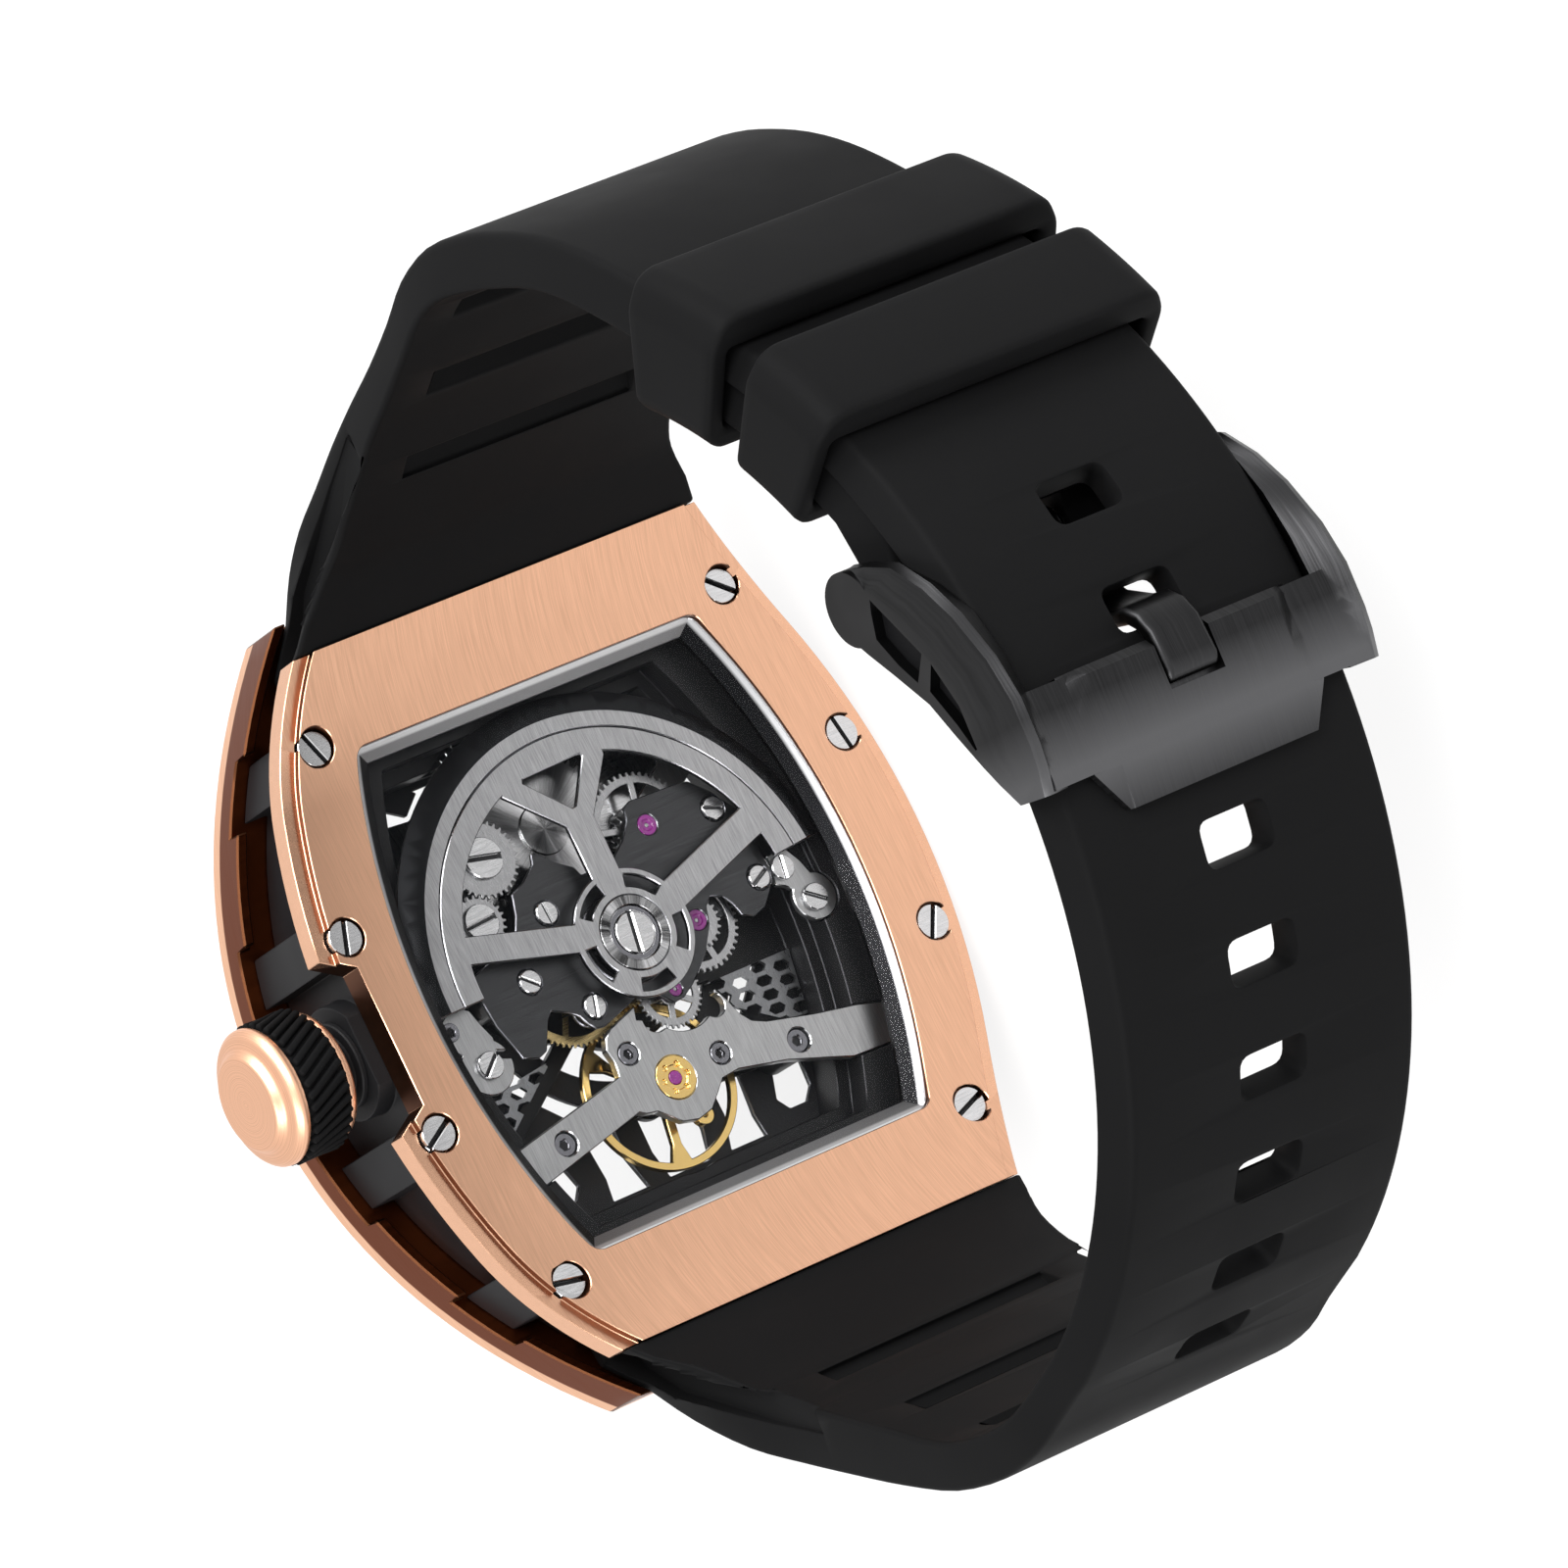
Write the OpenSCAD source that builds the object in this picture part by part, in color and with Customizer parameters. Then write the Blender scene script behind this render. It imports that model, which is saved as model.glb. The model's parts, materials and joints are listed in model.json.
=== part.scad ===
// Automatic skeleton watch with a tonneau sandwich case, integrated rubber strap and pin buckle.
// Drawn lying on its 9 o'clock side: crown up (+Z), dial toward -Y, strap loop toward +Y.
// Inside the modules the case frame is used: x = 3 o'clock, y = 12 o'clock, z = toward the dial,
// with z = 0 on the flat outer face of the caseback. All sizes in millimetres.

/* [Case] */
// Half width of the caseback at its waist
case_half_w = 21.3; // [20.8:0.1:21.8]
// Radius of the long curved flanks
flank_r = 43.9; // [42:0.5:46]
// Half length of the caseback
back_half_l = 22.5; // [22.3:0.1:22.7]
// Half length of the front bezel
bezel_half_l = 25.2; // [25:0.1:25.6]
// Height of the bezel crest over the caseback
case_h = 12.9; // [12.7:0.1:13.2]
// Radius of the arched bezel front
bezel_arch_r = 46.2; // [45:0.5:48]
// Thickness of the caseback plate
back_t = 2.1; // [2:0.05:2.2]
// Thickness of the front bezel
bezel_t = 2.3; // [2.1:0.1:2.4]
// Set back of the black case wall from the outline
wall_inset = 2.5; // [2.3:0.1:2.8]

/* [Crown] */
// Radius of the crown cap
crown_r = 4.3; // [4:0.1:4.6]
// Number of slanted flutes in the rubber grip
crown_flutes = 30; // [24:1:36]

/* [Movement] */
// Radius swept by the winding rotor
rotor_r = 15.35; // [15:0.05:15.4]
// Outer radius of the balance rim
balance_r = 5.2; // [5:0.05:5.25]

/* [Strap] */
// Half width of the strap on the wrist side
strap_half_in = 11.2; // [11:0.05:11.25]
// Half width of the strap on the outer side
strap_half_out = 10.3; // [9.8:0.1:10.6]
// Thickness of the tail with the holes
tail_t = 2.2; // [2:0.05:2.2]
// Number of buckle holes in the tail
hole_count = 9; // [7:1:9]

/* [Buckle] */
// Half width of the buckle frame
buckle_half_w = 12.6; // [12.5:0.05:12.7]
// Width of the tongue
tongue_w = 3.6; // [3:0.1:3.8]

/* [Hidden] */
$fn = 64;
gap = 0.02;            // clearance of seated parts
run = 0.03;            // radial clearance of running pivots
cx = flank_r - case_half_w;
arc_y = 14;            // the caseback stays flat to this y
arc_r = 15.4;          // bend of the caseback ends
win_hw = case_half_w - 5.3;   // half width of the rear window
win_hl = 16.5;         // half length of the rear window
corner_r = 1.0;        // rounding of the rear window corners
win_r = 42.9;
bezel_c = case_h - bezel_arch_r;
bezel_in_r = bezel_arch_r - bezel_t;
cav_inset = 4.1;       // inset of the movement chamber
cav_hl = 17.0;
mid_hl = 20.5;         // half length of the black case middle
front_hw = case_half_w - 5;   // half width of the front opening
front_hl = 17.6;
dial_hl = 16.1;        // half length of dial and flange
crown_z = 4.95;
boss_x = case_half_w - 1.3;   // outer face of the boss behind the crown
crown_x = case_half_w + 0.35; // inner face of the crown
stem_x = 14.3;         // inner end of the winding stem
screw_r = 1.1;
screw_out = case_half_w - 2.5;
screw_end = case_half_w - 6;
back_screws = [[screw_end, 17.4], [screw_out, 6.37], [screw_out, -6.37], [screw_end, -17.4]];
loop_c = [-2, -25];    // centre of the strap loop in the y z plane
tail_r = 36.9;         // outer radius of the tail
pivot = [6.8, -54.0];  // spring bar in the y z plane
bar_r = 0.75;
bar_half = buckle_half_w - 0.8;
cell = [1.57, 0.92];   // pitch of the honeycomb
hole_0 = 3.7;          // loop angle of the hole in use
hole_step = 10.87;
keeper_r = 39.2;       // outer radius of both keepers
keeper_fix = [27.8, 37.8];
keeper_slide = [42.2, 54.0];

// Movement centres
rc = [0, 0.15];        // rotor
j1 = [-4.80, 5.94];    // reduction wheel
j2 = [-5.07, -0.51];   // reversing wheel
j3 = [-1.60, -3.80];   // escape wheel
bc = [1.20, 8.20];     // mainspring barrel
g1 = [6.63, 7.85];     // first winding wheel
g2 = [8.66, 4.33];     // second winding wheel
tc = [4.20, -0.90];    // third wheel
mc = [3.00, 0.00];     // minute wheel
pal = [-0.14, -6.42];  // pallet pivot
bal = [1.04, -8.69];   // balance staff

// ---------------------------------------------------------------- helpers
module place() { rotate([90, -90, 0]) children(); }

// tonneau outline: two flank arcs cut square at the ends
module lens(inset, hl) {
  intersection() {
    translate([-cx, 0]) circle(flank_r - inset, $fn = 200);
    translate([cx, 0]) circle(flank_r - inset, $fn = 200);
    square([100, 2 * hl], center = true);
  }
}

module window2d(inset, hl) {
  wc = win_r - win_hw;
  intersection() {
    translate([-wc, 0]) circle(win_r - inset, $fn = 200);
    translate([wc, 0]) circle(win_r - inset, $fn = 200);
    square([100, 2 * hl], center = true);
  }
}

// what the rounding takes off the corners of an opening set in by d
module corner_cut(d) {
  wc = win_r - win_hw;
  rr = corner_r - d + 0.004;
  yc = win_hl - corner_r;
  xc = sqrt((win_r - corner_r) * (win_r - corner_r) - yc * yc) - wc;
  t = atan2(yc, xc + wc);
  for (s = [-1, 1]) for (q = [-1, 1]) scale([s, q, 1]) difference() {
    slab(-2, 6) polygon([[xc, yc], [xc + 4 * cos(t), yc + 4 * sin(t)], [xc + 5, yc + 5], [xc, yc + 4]]);
    rod([xc, yc], rr, -3, 7);
  }
}

// outline in the y z plane drawn out along x from x0 to x1
module along_x(x0, x1) { translate([x0, 0, 0]) rotate([90, 0, 90]) linear_extrude(x1 - x0) children(); }

// profile [radius, x] turned about an x axis through y z
module about_x(c, a0, a1) {
  translate([0, c[0], c[1]]) rotate([0, 90, 0]) rotate([0, 0, a0])
    rotate_extrude(angle = a1 - a0, $fn = 180) children();
}

module slab(z0, z1) { translate([0, 0, z0]) linear_extrude(z1 - z0) children(); }

module rod(p, r, z0, z1) { translate([p[0], p[1], z0]) cylinder(r = r, h = z1 - z0); }

module tube(p, r_in, r_out, z0, z1) {
  difference() {
    rod(p, r_out, z0, z1);
    rod(p, r_in, z0 - 1, z1 + 1);
  }
}

// bar with round ends between two points
module link(p, q, w) {
  d = q - p;
  l = norm(d);
  translate(p) rotate(atan2(d[1], d[0])) {
    translate([0, -w / 2]) square([l, w]);
    circle(w / 2);
    translate([l, 0]) circle(w / 2);
  }
}

// caseback side profile: flat middle, both ends bent toward the wrist
module back_band(d0, d1) {
  difference() {
    union() {
      translate([-arc_y, -arc_r]) square([2 * arc_y, arc_r + d1]);
      for (s = [-1, 1]) translate([s * arc_y, -arc_r]) circle(arc_r + d1, $fn = 120);
    }
    translate([-arc_y, -arc_r * 2]) square([2 * arc_y, arc_r * 2 + d0]);
    for (s = [-1, 1]) translate([s * arc_y, -arc_r]) circle(arc_r + d0, $fn = 120);
    translate([-60, -60 - 0.25 * arc_r]) square([120, 60]);
  }
}

// slotted screw head with its shank, pointing along +z from the head top
module slotted(p, z, r, h, shank_r, shank_l, a) {
  translate([p[0], p[1], z]) difference() {
    union() {
      cylinder(r = r, h = h);
      translate([0, 0, h]) cylinder(r = shank_r, h = shank_l);
    }
    rotate([0, 0, a]) translate([-2 * r, -0.13 * r, -1]) cube([4 * r, 0.26 * r, 1 + 0.45 * h]);
  }
}

// screw head with a six sided socket
module socketed(p, z, r, h, shank_r, shank_l) {
  translate([p[0], p[1], z]) difference() {
    union() {
      cylinder(r = r, h = h);
      translate([0, 0, h]) cylinder(r = shank_r, h = shank_l);
    }
    translate([0, 0, -1]) cylinder(r = 0.5 * r, h = 1 + 0.6 * h, $fn = 6);
  }
}

// gear outline: n straight sided teeth on pitch radius rp
module gear2d(n, rp, a0) {
  m = 2 * rp / n;
  p = 360 / n;
  rt = rp + 0.7 * m;
  rr = rp - 0.95 * m;
  polygon([for (i = [0:n - 1]) for (k = [[rr, -0.27], [rt, -0.12], [rt, 0.12], [rr, 0.27]])
    k[0] * [cos(a0 + (i + k[1]) * p), sin(a0 + (i + k[1]) * p)]]);
}

module gear(c, n, rp, a0, z0, z1, bore) {
  translate([c[0], c[1], z0]) linear_extrude(z1 - z0) difference() {
    gear2d(n, rp, a0);
    if (bore > 0) circle(bore);
  }
}

// spoked wheel: toothed rim, hub and straight spokes
module spoked(c, n, rp, a0, z0, z1, rim, hub, ns, sw, as) {
  translate([c[0], c[1], z0]) linear_extrude(z1 - z0) union() {
    difference() {
      gear2d(n, rp, a0);
      circle(rim);
    }
    circle(hub);
    for (i = [0:ns - 1]) rotate(as + i * 360 / ns) translate([0, -sw / 2]) square([rim + 0.1, sw]);
  }
}

// tooth phase of a wheel that meshes with one of phase a1, in direction phi
function mesh(a1, n1, n2, phi) = phi + 180 + ((phi - a1) * n1 / 360 + 0.5) * 360 / n2;
function dir(p, q) = atan2(q[1] - p[1], q[0] - p[0]);

// tooth counts and pitch radii
n_rot = 48;
n_rev = 24;
m_a = 2 * norm(j2 - rc) / (n_rot + n_rev);
n_rev2 = 42;
n_red = 48;
m_b = 2 * norm(j1 - j2) / (n_rev2 + n_red);
n_redp = 16;
n_rat = 50;
m_c = 2 * norm(bc - j1) / (n_redp + n_rat);
n_w1p = 6;
n_w1 = 34;
n_w2 = 24;
m_d = 2 * norm(g2 - g1) / (n_w1 + n_w2);
n_bar = 74;
n_cp = 10;
m_e = 2 * norm(bc) / (n_bar + n_cp);
n_cw = 64;
n_tp = 8;
m_f = 2 * norm(tc) / (n_cw + n_tp);
n_tw = 60;
n_fp = 8;
m_j = 2 * norm(tc) / (n_tw + n_fp);
n_fw = 70;
n_ep = 8;
m_g = 2 * norm(j3) / (n_fw + n_ep);
n_can = 12;
n_mw = 36;
m_h = 2 * norm(mc) / (n_can + n_mw);
n_mp = 10;
n_hw = 40;
m_i = 2 * norm(mc) / (n_mp + n_hw);

// tooth phases, chained from the rotor, the barrel and the cannon pinion
a_rev = mesh(0, n_rot, n_rev, dir(rc, j2));
a_red = mesh(0, n_rev2, n_red, dir(j2, j1));
a_rat = mesh(0, n_redp, n_rat, dir(j1, bc));
a_w1p = mesh(a_rat, n_rat, n_w1p, dir(bc, g1));
a_w2 = mesh(0, n_w1, n_w2, dir(g1, g2));
a_cp = mesh(0, n_bar, n_cp, dir(bc, [0, 0]));
a_tp = mesh(0, n_cw, n_tp, dir([0, 0], tc));
a_fp = mesh(0, n_tw, n_fp, dir(tc, [0, 0]));
a_ep = mesh(0, n_fw, n_ep, dir([0, 0], j3));
a_mw = mesh(0, n_can, n_mw, dir([0, 0], mc));
a_hw = mesh(0, n_mp, n_hw, dir(mc, [0, 0]));

// ---------------------------------------------------------------- case
module notch2d() {
  polygon([[case_half_w - 2.3, 4.5], [case_half_w - 2.3, -4.5], [case_half_w + 1.2, -6.6],
    [case_half_w + 1.2, 6.6]]);
}

module caseback() {
  color("#d9a07c") difference() {
    union() {
      intersection() {
        slab(-5, 3) lens(1.0, back_half_l);
        along_x(-30, 30) back_band(0, back_t);
      }
      intersection() {
        slab(-5, 3) lens(0, back_half_l);
        along_x(-30, 30) back_band(0.55, back_t);
      }
    }
    difference() {
      slab(-5, 5) window2d(0, win_hl);
      corner_cut(0);
    }
    slab(-5, 5) notch2d();
    for (s = [-1, 1]) for (p = back_screws) {
      rod([s * p[0], p[1]], screw_r + 0.12, -5, 1.0);
      rod([s * p[0], p[1]], 0.65, -5, 5);
    }
  }
}

module caseback_screws() {
  color("#c9c9c9") for (s = [-1, 1]) for (i = [0:3]) {
    p = back_screws[i];
    z = abs(p[1]) > 14 ? -0.1 : 0.15;
    slotted([s * p[0], p[1]], z, screw_r, 1.0 - z - gap, 0.6, 2.6, 55 + 40 * i + 15 * s);
  }
}

// funnel inside the window ring, set in by d
module funnel_body(d) {
  wc = win_r - win_hw;
  intersection() {
    translate([-wc, 0, 0.25]) cylinder(r1 = win_r - d, r2 = win_r - 1.1 - d, h = 0.75, $fn = 240);
    translate([wc, 0, 0.25]) cylinder(r1 = win_r - d, r2 = win_r - 1.1 - d, h = 0.75, $fn = 240);
    along_x(-20, 20) polygon([[-win_hl + d, 0.25], [win_hl - d, 0.25],
      [win_hl - 0.85 - d, 1.0], [-win_hl + 0.85 + d, 1.0]]);
  }
}

module back_window_ring() {
  color("#d5d7d9") difference() {
    slab(0.2, 1.35) window2d(gap, win_hl - gap);
    corner_cut(gap);
    difference() {
      union() {
        funnel_body(0.08);
        slab(0, 0.3) window2d(0.08, win_hl - 0.08);
      }
      corner_cut(0.08);
    }
    slab(0, 3) window2d(1.18, win_hl - 0.93);
  }
}

module back_crystal() {
  color("#dfe9ee") difference() {
    funnel_body(0.13);
    corner_cut(0.13);
  }
}

module case_middle() {
  color("#26272a") difference() {
    union() {
      intersection() {
        slab(-1, 13) lens(wall_inset, mid_hl);
        along_x(-30, 30) mid_band();
      }
      // ribs on both flanks
      for (s = [-1, 1]) for (y = [17.2, 6.7, -6.7, -16.8]) intersection() {
        slab(-1, 13) lens(0.95, mid_hl);
        along_x(-30, 30) mid_band();
        translate([s * 18 - 5, y - 1.5, -1]) cube([10, 3.0, 16]);
      }
      // boss behind the crown
      intersection() {
        translate([boss_x - 3, 0, crown_z]) rotate([0, 90, 0]) cylinder(r = 3.6, h = 3.0);
        along_x(-30, 30) mid_band();
      }
    }
    slab(-5, 20) lens(cav_inset, cav_hl);
    translate([10, 0, crown_z]) rotate([0, 90, 0]) cylinder(r = 1.5, h = 12);
    for (s = [-1, 1]) for (p = back_screws) {
      rod([s * p[0], p[1]], 0.62, -1, 4.2);
      rod([s * p[0], p[1]], 0.62, 5.5, 14);
    }
  }
}

// space between the inner faces of caseback and bezel
module mid_band() {
  difference() {
    translate([-mid_hl, -4]) square([2 * mid_hl, 20]);
    translate([-arc_y, -20]) square([2 * arc_y, 20 + back_t + gap]);
    for (s = [-1, 1]) translate([s * arc_y, -arc_r]) circle(arc_r + back_t + gap, $fn = 120);
    difference() {
      translate([-40, -10]) square([80, 40]);
      translate([0, bezel_c]) circle(bezel_in_r - gap, $fn = 300);
    }
  }
}

module front_bezel() {
  color("#cf8f68") difference() {
    intersection() {
      slab(-2, 14) lens(0, bezel_half_l);
      along_x(-30, 30) difference() {
        translate([0, bezel_c]) circle(bezel_arch_r, $fn = 300);
        translate([0, bezel_c]) circle(bezel_in_r - 1.0, $fn = 300);
      }
      union() {
        along_x(-30, 30) difference() {
          translate([0, bezel_c]) circle(bezel_arch_r, $fn = 300);
          translate([0, bezel_c]) circle(bezel_in_r, $fn = 300);
        }
        // deeper rim between the ribs
        for (s = [-1, 1]) for (y = [[9.0, 15.2], [19.2, 26], [-15.2, -9.0], [-26, -19.2]])
          slab(-2, 14) intersection() {
            difference() {
              lens(0, bezel_half_l);
              lens(0.75, bezel_half_l + 1);
            }
            translate([s * 15 - 9, y[0]]) square([18, y[1] - y[0]]);
          }
      }
    }
    slab(-2, 14) lens(case_half_w - front_hw, front_hl);
    for (s = [-1, 1]) for (p = back_screws) {
      zt = bezel_c + sqrt(bezel_arch_r * bezel_arch_r - p[1] * p[1]);
      rod([s * p[0], p[1]], screw_r + 0.12, zt - 1.0, 14);
      rod([s * p[0], p[1]], 0.65, 2, 14);
    }
  }
}

module bezel_screws() {
  color("#c9c9c9") for (s = [-1, 1]) for (i = [0:3]) {
    p = back_screws[i];
    zt = bezel_c + sqrt(bezel_arch_r * bezel_arch_r - p[1] * p[1]);
    translate([0, 0, zt - 0.15]) mirror([0, 0, 1])
      slotted([s * p[0], p[1]], 0, screw_r, 0.82, 0.6, 2.6, 20 + 50 * i + 25 * s);
  }
}

module front_crystal() {
  color("#dfe9ee") intersection() {
    slab(0, 14) lens(case_half_w - front_hw + 0.05, front_hl - 0.05);
    along_x(-30, 30) difference() {
      translate([0, bezel_c]) circle(bezel_arch_r - 0.15, $fn = 300);
      translate([0, bezel_c]) circle(bezel_arch_r - 1.5, $fn = 300);
    }
  }
}

module under_bezel(d) { along_x(-30, 30) translate([0, bezel_c]) circle(bezel_in_r - d, $fn = 300); }

module flange() {
  color("#1d1e20") intersection() {
    slab(7.48, 8.9) difference() {
      lens(cav_inset + 0.06, dial_hl);
      lens(cav_inset + 1.1, dial_hl - 0.9);
    }
    under_bezel(0.08);
  }
}

module hour_markers() {
  color("#e7e4dc") for (i = [0:11]) {
    a = i * 30;
    // the markers follow the tonneau outline
    rr = min(15.0 / max(0.01, abs(cos(a))), 14.3 / max(0.01, abs(sin(a))), 16.8);
    translate([rr * cos(a), rr * sin(a), 7.45 + gap]) rotate([0, 0, a])
      translate([-0.65, -0.4, 0]) cube([1.3, 0.8, 0.3]);
  }
}

// struts of one half of the dial
module dial_half() {
  slab(7.05, 7.45) difference() {
    polygon([[6.0, -8.4], [5.65, -12.3], [6.1, -15.6], [12.2, -15.6], [14.0, -11.5], [15.4, -3.4],
      [11.0, -3.2]]);
    polygon([[8.2, -10.2], [10.3, -10.2], [10.2, -12.0], [9.5, -12.8], [8.2, -12.8], [7.6, -12.0]]);
  }
  slab(7.05, 7.45) polygon([[1.9, -8.0], [3.7, -8.0], [3.8, -11.6], [2.6, -15.6], [1.1, -15.6],
    [1.95, -11.8]]);
  slab(7.05, 7.45) polygon([[8.2, 15.6], [6.0, 13.5], [7.3, 12.4], [11.5, 15.0]]);
  slab(7.05, 7.45) polygon([[5.5, 11.0], [12.5, 8.6], [13.5, 10.0], [6.5, 12.4]]);
  slab(7.05, 7.45) polygon([[15.5, 6.5], [8.2, 3.6], [8.6, 2.3], [16.0, 5.0]]);
}

module skeleton_dial() {
  color("#2b2c2f") union() {
    slab(7.05, 7.45) difference() {
      lens(cav_inset + 0.06, dial_hl);
      lens(cav_inset + 2.9, dial_hl - 2.4);
    }
    tube([0, 0], 7.4, 9.2, 7.05, 7.45);
    intersection() {
      slab(6, 8) lens(cav_inset + 1.0, dial_hl - 0.5);
      union() {
        dial_half();
        mirror([1, 0, 0]) dial_half();
        for (a = [45, 135]) slab(7.05, 7.45) rotate(a) translate([8, -0.6]) square([9, 1.2]);
      }
    }
  }
}

// ---------------------------------------------------------------- movement frame and bridges
module pocket2d(inset) { lens(7.8 + inset, 15.0 - inset); }

module mainplate() {
  color("#1b1c1e") difference() {
    union() {
      // stepped movement ring
      slab(2.45, 7.0) difference() {
        lens(cav_inset + 0.06, cav_hl - 0.06);
        pocket2d(0);
      }
      slab(4.32, 7.0) difference() {
        lens(cav_inset + 1.0, cav_hl - 0.5);
        pocket2d(0.9);
      }
      // beams of the plate
      slab(6.3, 7.0) intersection() {
        lens(cav_inset + 1.0, cav_hl - 0.5);
        union() {
          circle(5.6);
          translate(bc) circle(6.6);
          translate([4.2, 1.5]) circle(5.2);
          translate(bal) circle(1.5);
          link([0, 0], bal, 2.0);
          link([12.8, -10.2], bal, 1.7);
          link([-13.5, -9.2], bal, 1.7);
          link([4.2, -3.6], [12.8, -9.4], 1.1);
          link([-3, -3], [-15, -3.2], 1.5);
          polygon([[-4.5, 1.8], [-16.5, 1.8], [-16.5, -4.0], [-6.4, -4.0]]);
          link([4, 2], [16, 1.4], 3.6);
          link([-4, 2], [-16, 1.8], 3.6);
          link([-9.46, 2], [-9.46, 5.34], 2.2);
          link([-10.8, 9.6], [-16, 9.0], 2.2);
          link([-6, 6], [-11, 14.5], 2.6);
          link([8.3, 15.6], [10.4, 11.0], 0.9);
          link([10.4, 11.0], [14.2, 12.2], 0.9);
          link([8.5, 5], [10.6, 11.2], 2.2);
        }
      }
      // pillars under the bridges
      for (p = [[-9.46, 5.34], [-10.30, 0.42], [9.4, -0.1]]) rod(p, 0.9, 3.6, 6.4);
      rod([-10.8, 9.6], 0.9, 4.32, 6.4);
      rod([10.4, 8.6], 0.9, 4.32, 6.4);
      rod([9.89, -9.75], 1.1, 3.12, 6.4);
      rod([-7.93, -9.55], 1.1, 3.12, 6.4);
    }
    rod([0, 0], 0.43, 6, 8);
    rod(tc, 0.2, 6, 6.7);
    rod(j3, 0.18, 6, 6.7);
    rod(bal, 0.2, 6, 6.7);
    rod(bc, 0.9, 6, 6.8);
    rod(mc, 0.2, 6.6, 8);
    for (p = [[9.89, -9.75], [-7.93, -9.55]]) rod(p, 0.45, 2, 5.4);
    // room for the balance and the barrel
    rod(bal, balance_r + 0.35, 4.1, 5.4);
    rod(bc, 7.65, 4.15, 6.05);
    // seats of the cock feet and of the crown levers
    slab(2, 3.12) polygon([[11, -8.55], [13.25, -8.99], [12.65, -11.67], [11, -11.3]]);
    slab(2, 3.12) polygon([[-9.9, -8.45], [-12.6, -8.9], [-14.46, -9.36], [-14.05, -11.96],
      [-11, -11.86]]);
    slab(2, 3.02) translate([11.0, -3.2]) square([3.8, 3.5]);
    slab(2, 3.02) translate([-14.5, -1.6]) square([3.5, 3.4]);
    rod([12.4, -3.7], 1.8, 2, 3.02);
    rod([-13.5, -1.9], 1.55, 2, 3.02);
    rod([13.9, -1.0], 0.28, 2, 5);
    rod([-13.37, -2.0], 0.36, 2, 5);
    translate([10, 0, crown_z]) rotate([0, 90, 0]) cylinder(r = 0.72, h = 12);
  }
}

// thin plates with a honeycomb of long six sided holes
module comb(p0, nx, ny) {
  difference() {
    children();
    for (i = [0:nx]) for (j = [0:ny])
      translate(p0 + [cell[0] * i, -cell[1] * (j + (i % 2) / 2)]) rotate(3)
        polygon([[-0.62, 0], [-0.33, 0.33], [0.33, 0.33], [0.62, 0], [0.33, -0.33], [-0.33, -0.33]]);
  }
}

module mesh_plates() {
  color("#b9bbbd") {
    slab(5.98, 6.28) comb([-12.9, -4.25], 5, 4)
      polygon([[-6.2, -3.95], [-12.3, -3.95], [-11.6, -8.0], [-10.0, -7.85], [-7.15, -6.0]]);
    slab(5.98, 6.28) comb([6.1, -4.7], 5, 4)
      polygon([[12.2, -4.4], [9.3, -4.9], [6.9, -4.6], [6.2, -4.5], [11.0, -7.9], [11.6, -7.4]]);
  }
}

module automatic_bridge() {
  color("#4b4d50") difference() {
    union() {
      slab(2.35, 2.65) difference() {
        polygon([[-1.2, 4.6], [-2.75, 5.64], [-3.57, 6.62], [-3.83, 7.45], [-4.36, 7.68],
            [-8.04, 7.56], [-8.71, 7.44], [-9.9, 6.3], [-11.0, 4.77], [-11.11, 2.54],
            [-11.3, 1.3], [-11.39, 0.26], [-10.61, -0.63], [-9.79, -1.42], [-8.88, -1.67],
            [-8.11, -1.3], [-7.82, -0.44], [-7.41, 0.21], [-6.61, 0.5], [-6.1, 0.02],
            [-5.77, -1.03], [-4.52, -2.65], [-3.32, -3.6], [-2.88, -3.95], [-1.88, -4.5],
            [-1.1, -4.57], [-0.4, -3.75], [1.2, -3.4], [3.5, -4.1], [4.0, -4.25],
            [4.6, -4.15], [5.0, -3.7], [5.31, -3.06], [5.85, -2.66], [6.91, -2.13],
            [7.4, -2.61], [8.36, -4.23], [9.01, -4.45], [10.09, -4.11], [10.3, -3.27],
            [10.78, -1.75], [10.95, -0.12], [10.85, 1.5], [7.0, 2.7], [6.3, 3.9], [5.9, 5.2],
            [4.84, 5.59], [3.7, 6.4], [3.5, 7.0], [3.15, 6.94], [2.1, 5.92], [1.15, 5.29],
            [0.9, 4.7]]);
        translate(rc) circle(2.55);
      }
      // rim round the hole of the rotor sleeve
      tube(rc, 2.5, 2.9, 2.3, 2.64);
      // legs down to the lower bridges
      for (p = [[4.31, 3.36], [4.07, -2.90], [7.40, -0.05], [-9.46, 5.34], [-10.30, 0.42]])
        rod(p, 0.75, 2.6, 3.28);
    }
    rod(j1, 0.66, 2, 3);
    rod(j2, 0.66, 2, 3);
    rod(j3, 0.46, 2, 3);
    for (p = bridge_screw_at) {
      rod([p[0], p[1]], p[2] + 0.1, 2.1, 2.55);
      rod([p[0], p[1]], 0.42 * p[2] + 0.05, 2.1, 3.5);
    }
  }
}

bridge_screw_at = [[-9.46, 5.34, 0.72], [4.31, 3.36, 0.72], [-10.30, 0.42, 0.72],
  [7.40, -0.05, 0.72], [4.07, -2.90, 0.72]];

module bridge_screws() {
  color("#c9c9c9") {
    for (i = [0:4]) {
      p = bridge_screw_at[i];
      slotted([p[0], p[1]], 2.2, p[2], 0.33, 0.4 * p[2], 0.75, 20 + 67 * i);
    }
    slotted([-12.14, 0.42], 2.2, 0.78, 0.33, 0.3, 0.9, 100);
  }
}

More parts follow.
